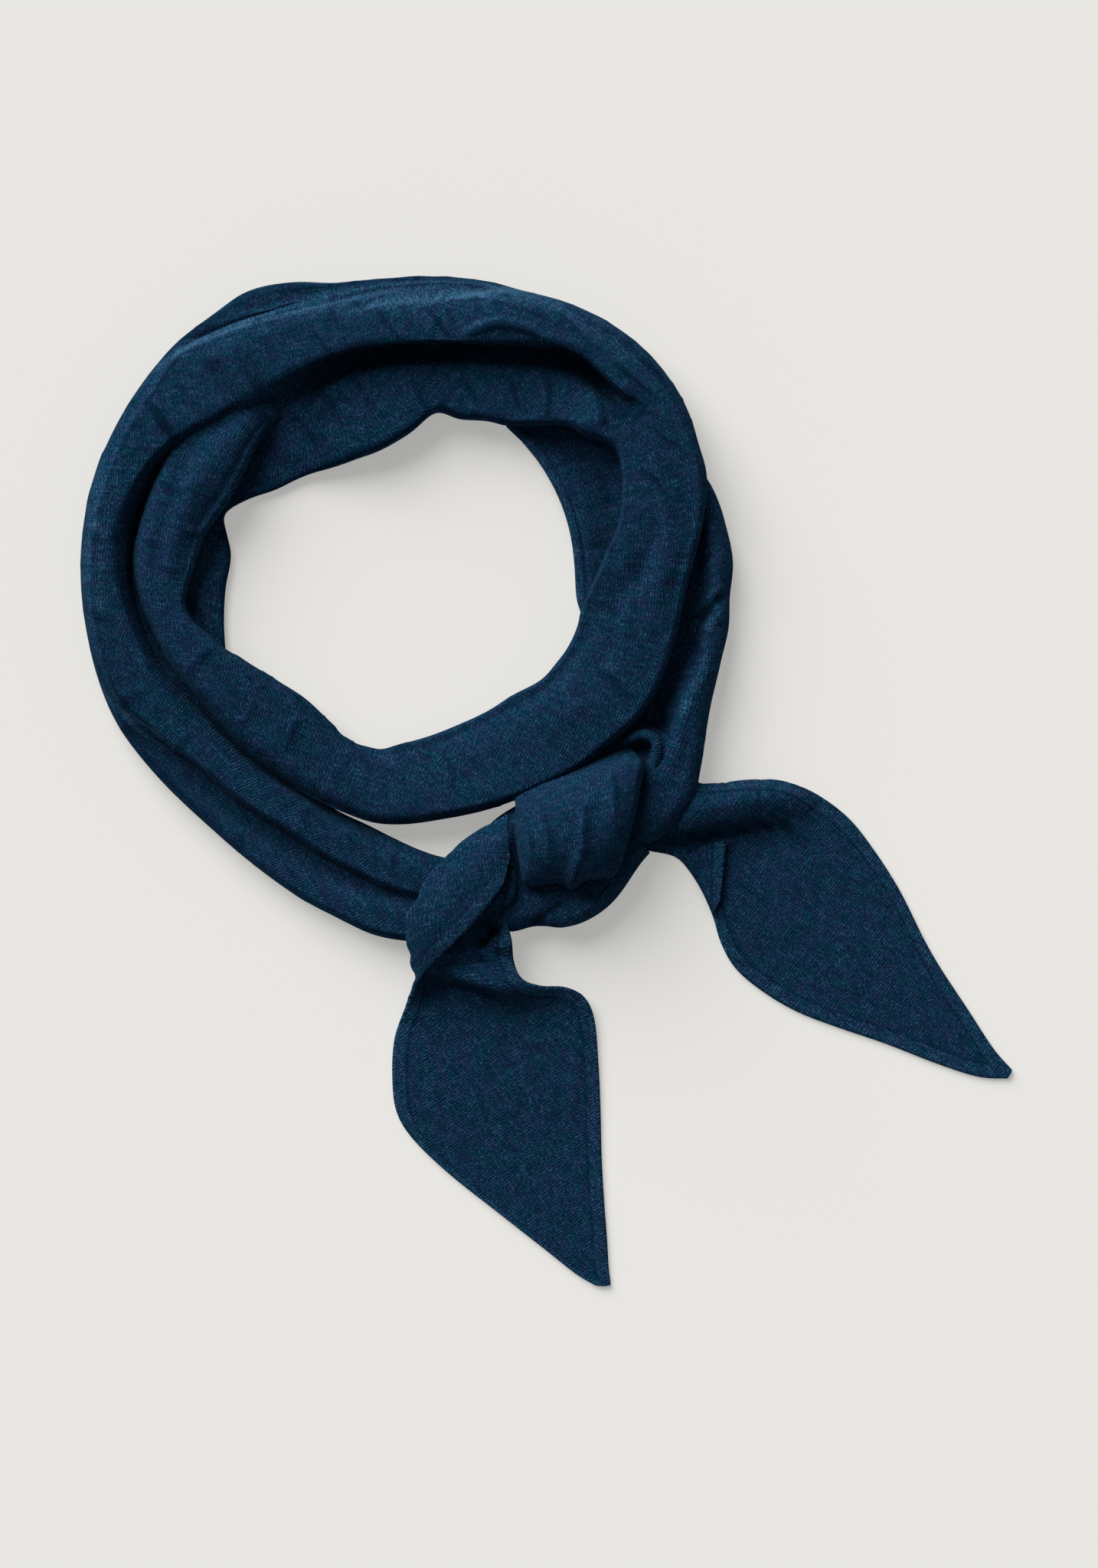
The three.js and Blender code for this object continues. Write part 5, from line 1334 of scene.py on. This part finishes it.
# Creases: how high (a trough is below 0), how wide, and the route.
FIRST_CREASES = [
    # the dimple in the ridge's inner side
    (-3.2, 1.5, [(20.6, 81.6), (24.6, 83.6), (28.4, 84.9), (33, 85.3), (38.6, 84.3), (43.4, 82.2),
                 (50, 79)]),
    (-2.0, 3.0, [(23, 81.6), (33, 83), (44, 80.6)]),
    # across the ridge
    (-0.8, 1.2, [(70.2, 72.8), (76.7, 67.6), (83.2, 62.4)]),
    (-1.7, 1.7, [(-86.6, 59.6), (-81.9, 53.3), (-77, 47.4)]),
    (-0.8, 1.0, [(7.3, 92.2), (11, 87), (14.6, 81.6)]),
    (-0.5, 0.9, [(13, 92), (16, 87.5), (19, 84)]),
    (-0.6, 1.0, [(-9, 90), (-5, 84.5), (-1, 80.6)]),
    (-0.6, 1.0, [(-31, 84), (-27, 79), (-25, 75)]),
    (-0.5, 1.2, [(-58, 78), (-54, 72), (-51, 65)]),
    (-0.7, 1.1, [(47, 91.5), (53, 88.6), (59, 84)]),
    (-0.5, 1.0, [(79, 75), (85, 69.6), (90, 63)]),
    # the two thin crests over the left shoulder
    (0.7, 1.3, OUTER_CREST),
    (-1.3, 1.2, [(-76, 81), (-66.4, 84.9), (-56.8, 88.5), (-44.3, 91.8), (-30.3, 95),
                 (-16.4, 98.4), (-4, 100.5), (8, 101.6)]),
    (0.8, 1.4, INNER_CREST),
    (-0.8, 1.1, [(-20, 92.4), (-8, 95.2), (2.6, 96.5), (14, 98)]),
    (0.5, 3.0, [(-10, 91), (4, 92), (20, 94), (34, 95), (48, 92)]),
    (0.6, 1.3, LOWER_CREST),
    (0.5, 1.6, [(-102, -34), (-92, -50), (-80, -64), (-64, -78), (-48, -90)]),
    # across the inner band
    (-0.9, 0.9, [(2.6, 67), (5, 62), (7.8, 56.6)]),
    (-0.7, 0.8, [(19.5, 68), (21.5, 65), (24, 61)]),
    (-0.9, 0.9, [(35.1, 67.5), (37, 62.6), (39.4, 57)]),
    (-1.1, 1.2, [(48, 69), (48.8, 62), (48, 54)]),
    (-1.0, 1.3, [(64, 64), (66, 58), (67.8, 51)]),
    (-0.7, 1.0, [(-17, 68.6), (-13.6, 63), (-11, 55)]),
    (-0.8, 1.4, [(-30, 66), (-25, 60), (-21.6, 52)]),
    (-0.9, 1.6, [(-40, 58), (-34, 52.6), (-30.6, 45.6)]),
    (0.8, 2.2, [(-36, 63), (-30, 57), (-25.6, 49)]),
    # across the left side and the shelf beside the neck opening
    (-0.7, 1.1, [(-108, 16), (-102, 14), (-96.6, 14.4)]),
    (-0.6, 1.2, [(-108, -10), (-103, -11.6), (-97, -10.6)]),
    (-0.7, 1.3, [(-98, -43), (-93, -39), (-87, -37)]),
    (-0.6, 1.2, [(-79, -60), (-75, -54), (-71, -50)]),
    (-0.5, 1.0, [(-64, 8), (-68, 2), (-70.6, -4)]),
    (-0.6, 1.4, [(-36, -86), (-33, -79), (-31, -74.6)]),
    (-0.6, 1.3, [(-8, -104), (-4.6, -96), (-4, -90)]),
]
FRONT_CREASES = [
    (-0.9, 1.0, [(-76, 18), (-72, 16.4), (-68, 16)]),
    (-0.7, 1.0, [(-84, 33), (-77, 30.6), (-71, 31)]),
    (-0.6, 1.2, [(-84, 6), (-79, 3.6), (-75, 4)]),
    (-0.8, 1.2, [(-74, -32), (-69, -26), (-63, -22.6)]),
    (-0.6, 1.0, [(-56, -50), (-52, -44), (-50, -38)]),
    (-0.7, 1.1, [(-41, -58), (-38, -51), (-36.6, -45)]),
    (-0.9, 1.1, [(-21.6, -52), (-17.4, -57), (-13.6, -61)]),
    (-0.5, 1.1, [(-3, -74), (-1.6, -66), (-2, -58)]),
    (-0.7, 1.2, [(16, -73), (15, -64), (12.6, -56)]),
    (-0.5, 1.0, [(33, -70), (30.6, -62), (26, -54)]),
    (-0.6, 1.3, [(54, -58), (49, -50), (43, -42)]),
    (-0.6, 1.3, [(75, -38), (70, -33), (62, -28.6)]),
    (-0.5, 1.2, [(85, -18), (79, -14), (72, -12)]),
    (-0.7, 1.3, [(88, 28), (84, 34), (78, 38.6)]),
    (-0.6, 1.1, [(95, 44), (88, 47), (82, 53)]),
    (0.7, 2.0, [(66, 4), (71, -8), (70, -20), (64, -31)]),
    (-0.8, 2.2, [(74, 10), (77, -4), (75, -16)]),
]
UNDER_CREASES = [
    (-2.0, 1.6, [(108.6, -4.6), (102.7, -9.1), (98.8, -13), (95.6, -16.6)]),
    (0.9, 1.8, [(109, -9), (104.6, -13), (101, -18)]),
    (-1.5, 2.4, [(97, -14), (97.4, -20), (96, -27)]),
    (1.6, 2.8, [(102, -27), (94.6, -43), (91.4, -57), (87, -69)]),
    (-1.6, 3.0, [(80.6, -36.4), (84, -44), (87, -52)]),
    (3.6, 3.4, [(77, -52.6), (82, -52), (85.4, -56), (84.6, -63), (83, -69)]),
    (-0.6, 1.2, [(106, 12), (102, 8), (99, 3)]),
    # the hem of the layer that shows in the neck opening
    (-0.5, 0.7, [(44.2, 41.6), (53.3, 31.2), (57.2, 23.4), (59.6, 15.6), (60.8, 5.2), (61.4, -4)]),
    (-0.8, 2.0, [(56, 46), (66, 36), (70, 26)]),
]
KNOT_CREASES = [
    (-1.6, 1.4, [(42, -118.4), (47, -113), (54, -107.4)]),
    (-1.0, 1.3, [(62, -113), (66, -106), (71, -101)]),
    (0.9, 2.2, [(50, -118), (58, -112), (66, -109)]),
]

# The way the ribs run in the plan view: the strand's angle and the ribs' slope in degrees. The
# front turn's angles are a full turn lower, as they follow the first turn's.
TURN_RIBS = [
    [283, 38], [266, 36], [258, 27], [245, 22], [230, 28], [218, 45], [206, 58], [193, 72],
    [180, 85], [171, 85], [150, 92], [134, 99], [113, 110], [95, 120], [79, 127], [57, 130],
    [38, 127], [28, 118], [19, 112], [11, 98], [0, 86], [-16, 74], [-31, 70],
    [-48, 62], [-64, 60], [-79, 60], [-92, 70], [-127, 70], [-144, 72], [-161, 84], [-174, 83],
    [-187, 78], [-199, 75], [-209, 70], [-233, 60],
]
UNDER_RIBS = [[312, 60], [333, 71], [345, 87], [363, 108], [372, 106], [400, 118], [417, 125]]
KNOT_RIBS = [[283, 30], [312, 40]]

wool = wool_knit()
under_at_top = UNDER_TURN.turned_back()
turns = add_strand("two_turns_cloth", [
    (FIRST_TURN_LEFT, 283, 134, [], False),
    (FIRST_TURN_TOP, 134, 38, [under_at_top], False),
    (FRONT_TURN, 398, 300, [UNDER_TURN], False),
    (FRONT_TURN, 300, 255, [FIRST_TURN_LEFT], False),
    (FRONT_TURN, 255, 154, [FIRST_TURN_LEFT], False),
    (FRONT_TURN, 154, 127, [FIRST_TURN_LEFT, FIRST_TURN_TOP], True),
], wool, TURN_RIBS, [(38, 283, FIRST_CREASES), (-233, 38, FRONT_CREASES)], seed=11,
    highlight_lines=PAINTED_HIGHLIGHT_LINES)
under_turn = add_strand("under_turn_cloth", [(UNDER_TURN, 312, 417, [], False)], wool, UNDER_RIBS,
                        [(312, 417, UNDER_CREASES)], seed=21, hemmed=True)
knot_under = add_strand("knot_under_cloth", [(KNOT_UNDER, 283, 312, [], False)], wool, KNOT_RIBS,
                        [(283, 312, KNOT_CREASES)], seed=31)
knot_band = add_knot_band(wool)
knot_roll = add_knot_roll(wool)
left_tail = add_left_tail(wool)
right_tail = add_right_tail(wool)
turned_edge = add_turned_edge(wool)

# Each piece, the solids it stands for, its flat cut's width, length and area in metres, how it
# is held and what it lies on.
PIECES = [
    (turns, ("first_turn_left", "first_turn_top", "front_turn_right", "front_turn_bottom",
             "front_turn_left"), (0.094, 0.765), None, "folded", (under_turn,)),
    (under_turn, ("under_turn",), (0.090, 0.166), None, "folded", ()),
    (knot_under, ("knot_under",), (0.098, 0.055), None, "folded", ()),
    (knot_band, ("knot_band",), (0.100, 0.041), None, "folded", (knot_under, under_turn)),
    (knot_roll, ("knot_loop",), (0.0105, 0.0225), None, "folded", (under_turn,)),
    (left_tail, ("left_tail",), (0.074, 0.155), 0.0084, "laid", (knot_under,)),
    (right_tail, ("right_tail",), (0.074, 0.140), 0.0063, "laid", ()),
    (turned_edge, ("right_tail_turned_edge",), (0.014, 0.023), 0.00024, "laid", (right_tail,)),
]
for piece, nodes, flat, area, held, below in PIECES:
    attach(piece, "root")
    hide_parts(*nodes)

# ---- floor, light and camera ----

VIEW_LONG = 532.5  # how much of the table the camera takes in along its long side
VIEW_ACROSS = 0.77  # its middle, a little right of and below the middle of the scarf's box
VIEW_UP = -0.55
LENS = 150
SENSOR = 36
FLOOR_HALF = 2.0  # in metres
FLOOR_DROP = 0.0002


def add_floor():
    mesh = bpy.data.meshes.new("floor")
    corners = [(FLOOR_HALF * x, FLOOR_HALF * y, 0) for x, y in [(-1, -1), (1, -1), (1, 1), (-1, 1)]]
    mesh.from_pydata(corners, [], [(0, 1, 2, 3)])
    floor = bpy.data.objects.new("floor", mesh)
    bpy.context.scene.collection.objects.link(floor)
    floor.location.z = -FLOOR_DROP
    paper = bpy.data.materials.new("pale_floor")
    paper.use_nodes = True
    shader = paper.node_tree.nodes["Principled BSDF"]
    shader.inputs["Base Color"].default_value = (0.42, 0.415, 0.40, 1)
    shader.inputs["Emission Color"].default_value = (1.0, 0.99, 0.955, 1)
    shader.inputs["Emission Strength"].default_value = 0.35
    shader.inputs["Roughness"].default_value = 0.9
    shader.inputs["Specular IOR Level"].default_value = 0.1
    mesh.materials.append(paper)
    floor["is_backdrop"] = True


def add_window_light(name, azimuth, elevation, spread, strength, colour):
    """A far, broad and even light from a direction in the plan view, in degrees."""
    light = bpy.data.lights.new(name, "SUN")
    light.angle = math.radians(spread)
    light.energy = strength
    light.color = colour
    lamp = bpy.data.objects.new(name, light)
    flat = math.cos(math.radians(elevation))
    turn = math.radians(azimuth)
    away = (flat * math.cos(turn), flat * math.sin(turn), math.sin(math.radians(elevation)))
    lamp.location = away
    lamp.rotation_mode = "QUATERNION"
    lamp.rotation_quaternion = (-lamp.location).to_track_quat("-Z", "Y")
    bpy.context.scene.collection.objects.link(lamp)


add_floor()
add_window_light("key_light", azimuth=124, elevation=34, spread=50, strength=5.0,
                 colour=(1.0, 0.99, 0.97))
world = bpy.data.worlds.new("soft_room")
world.use_nodes = True
world.node_tree.nodes["Background"].inputs["Color"].default_value = (0.95, 0.97, 1.0, 1)
world.node_tree.nodes["Background"].inputs["Strength"].default_value = 0.2
bpy.context.scene.world = world
bpy.context.scene.view_settings.view_transform = "Standard"

camera = bpy.data.objects.new("camera", bpy.data.cameras.new("camera"))
camera.data.lens = LENS
camera.data.sensor_width = SENSOR
camera.location = (VIEW_ACROSS * MM, VIEW_UP * MM, VIEW_LONG * LENS / SENSOR * MM)
bpy.context.scene.collection.objects.link(camera)
bpy.context.scene.camera = camera

sizes = {"cad": [list(corner) for corner in cad_box],
         "visual": [list(corner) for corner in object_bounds()]}
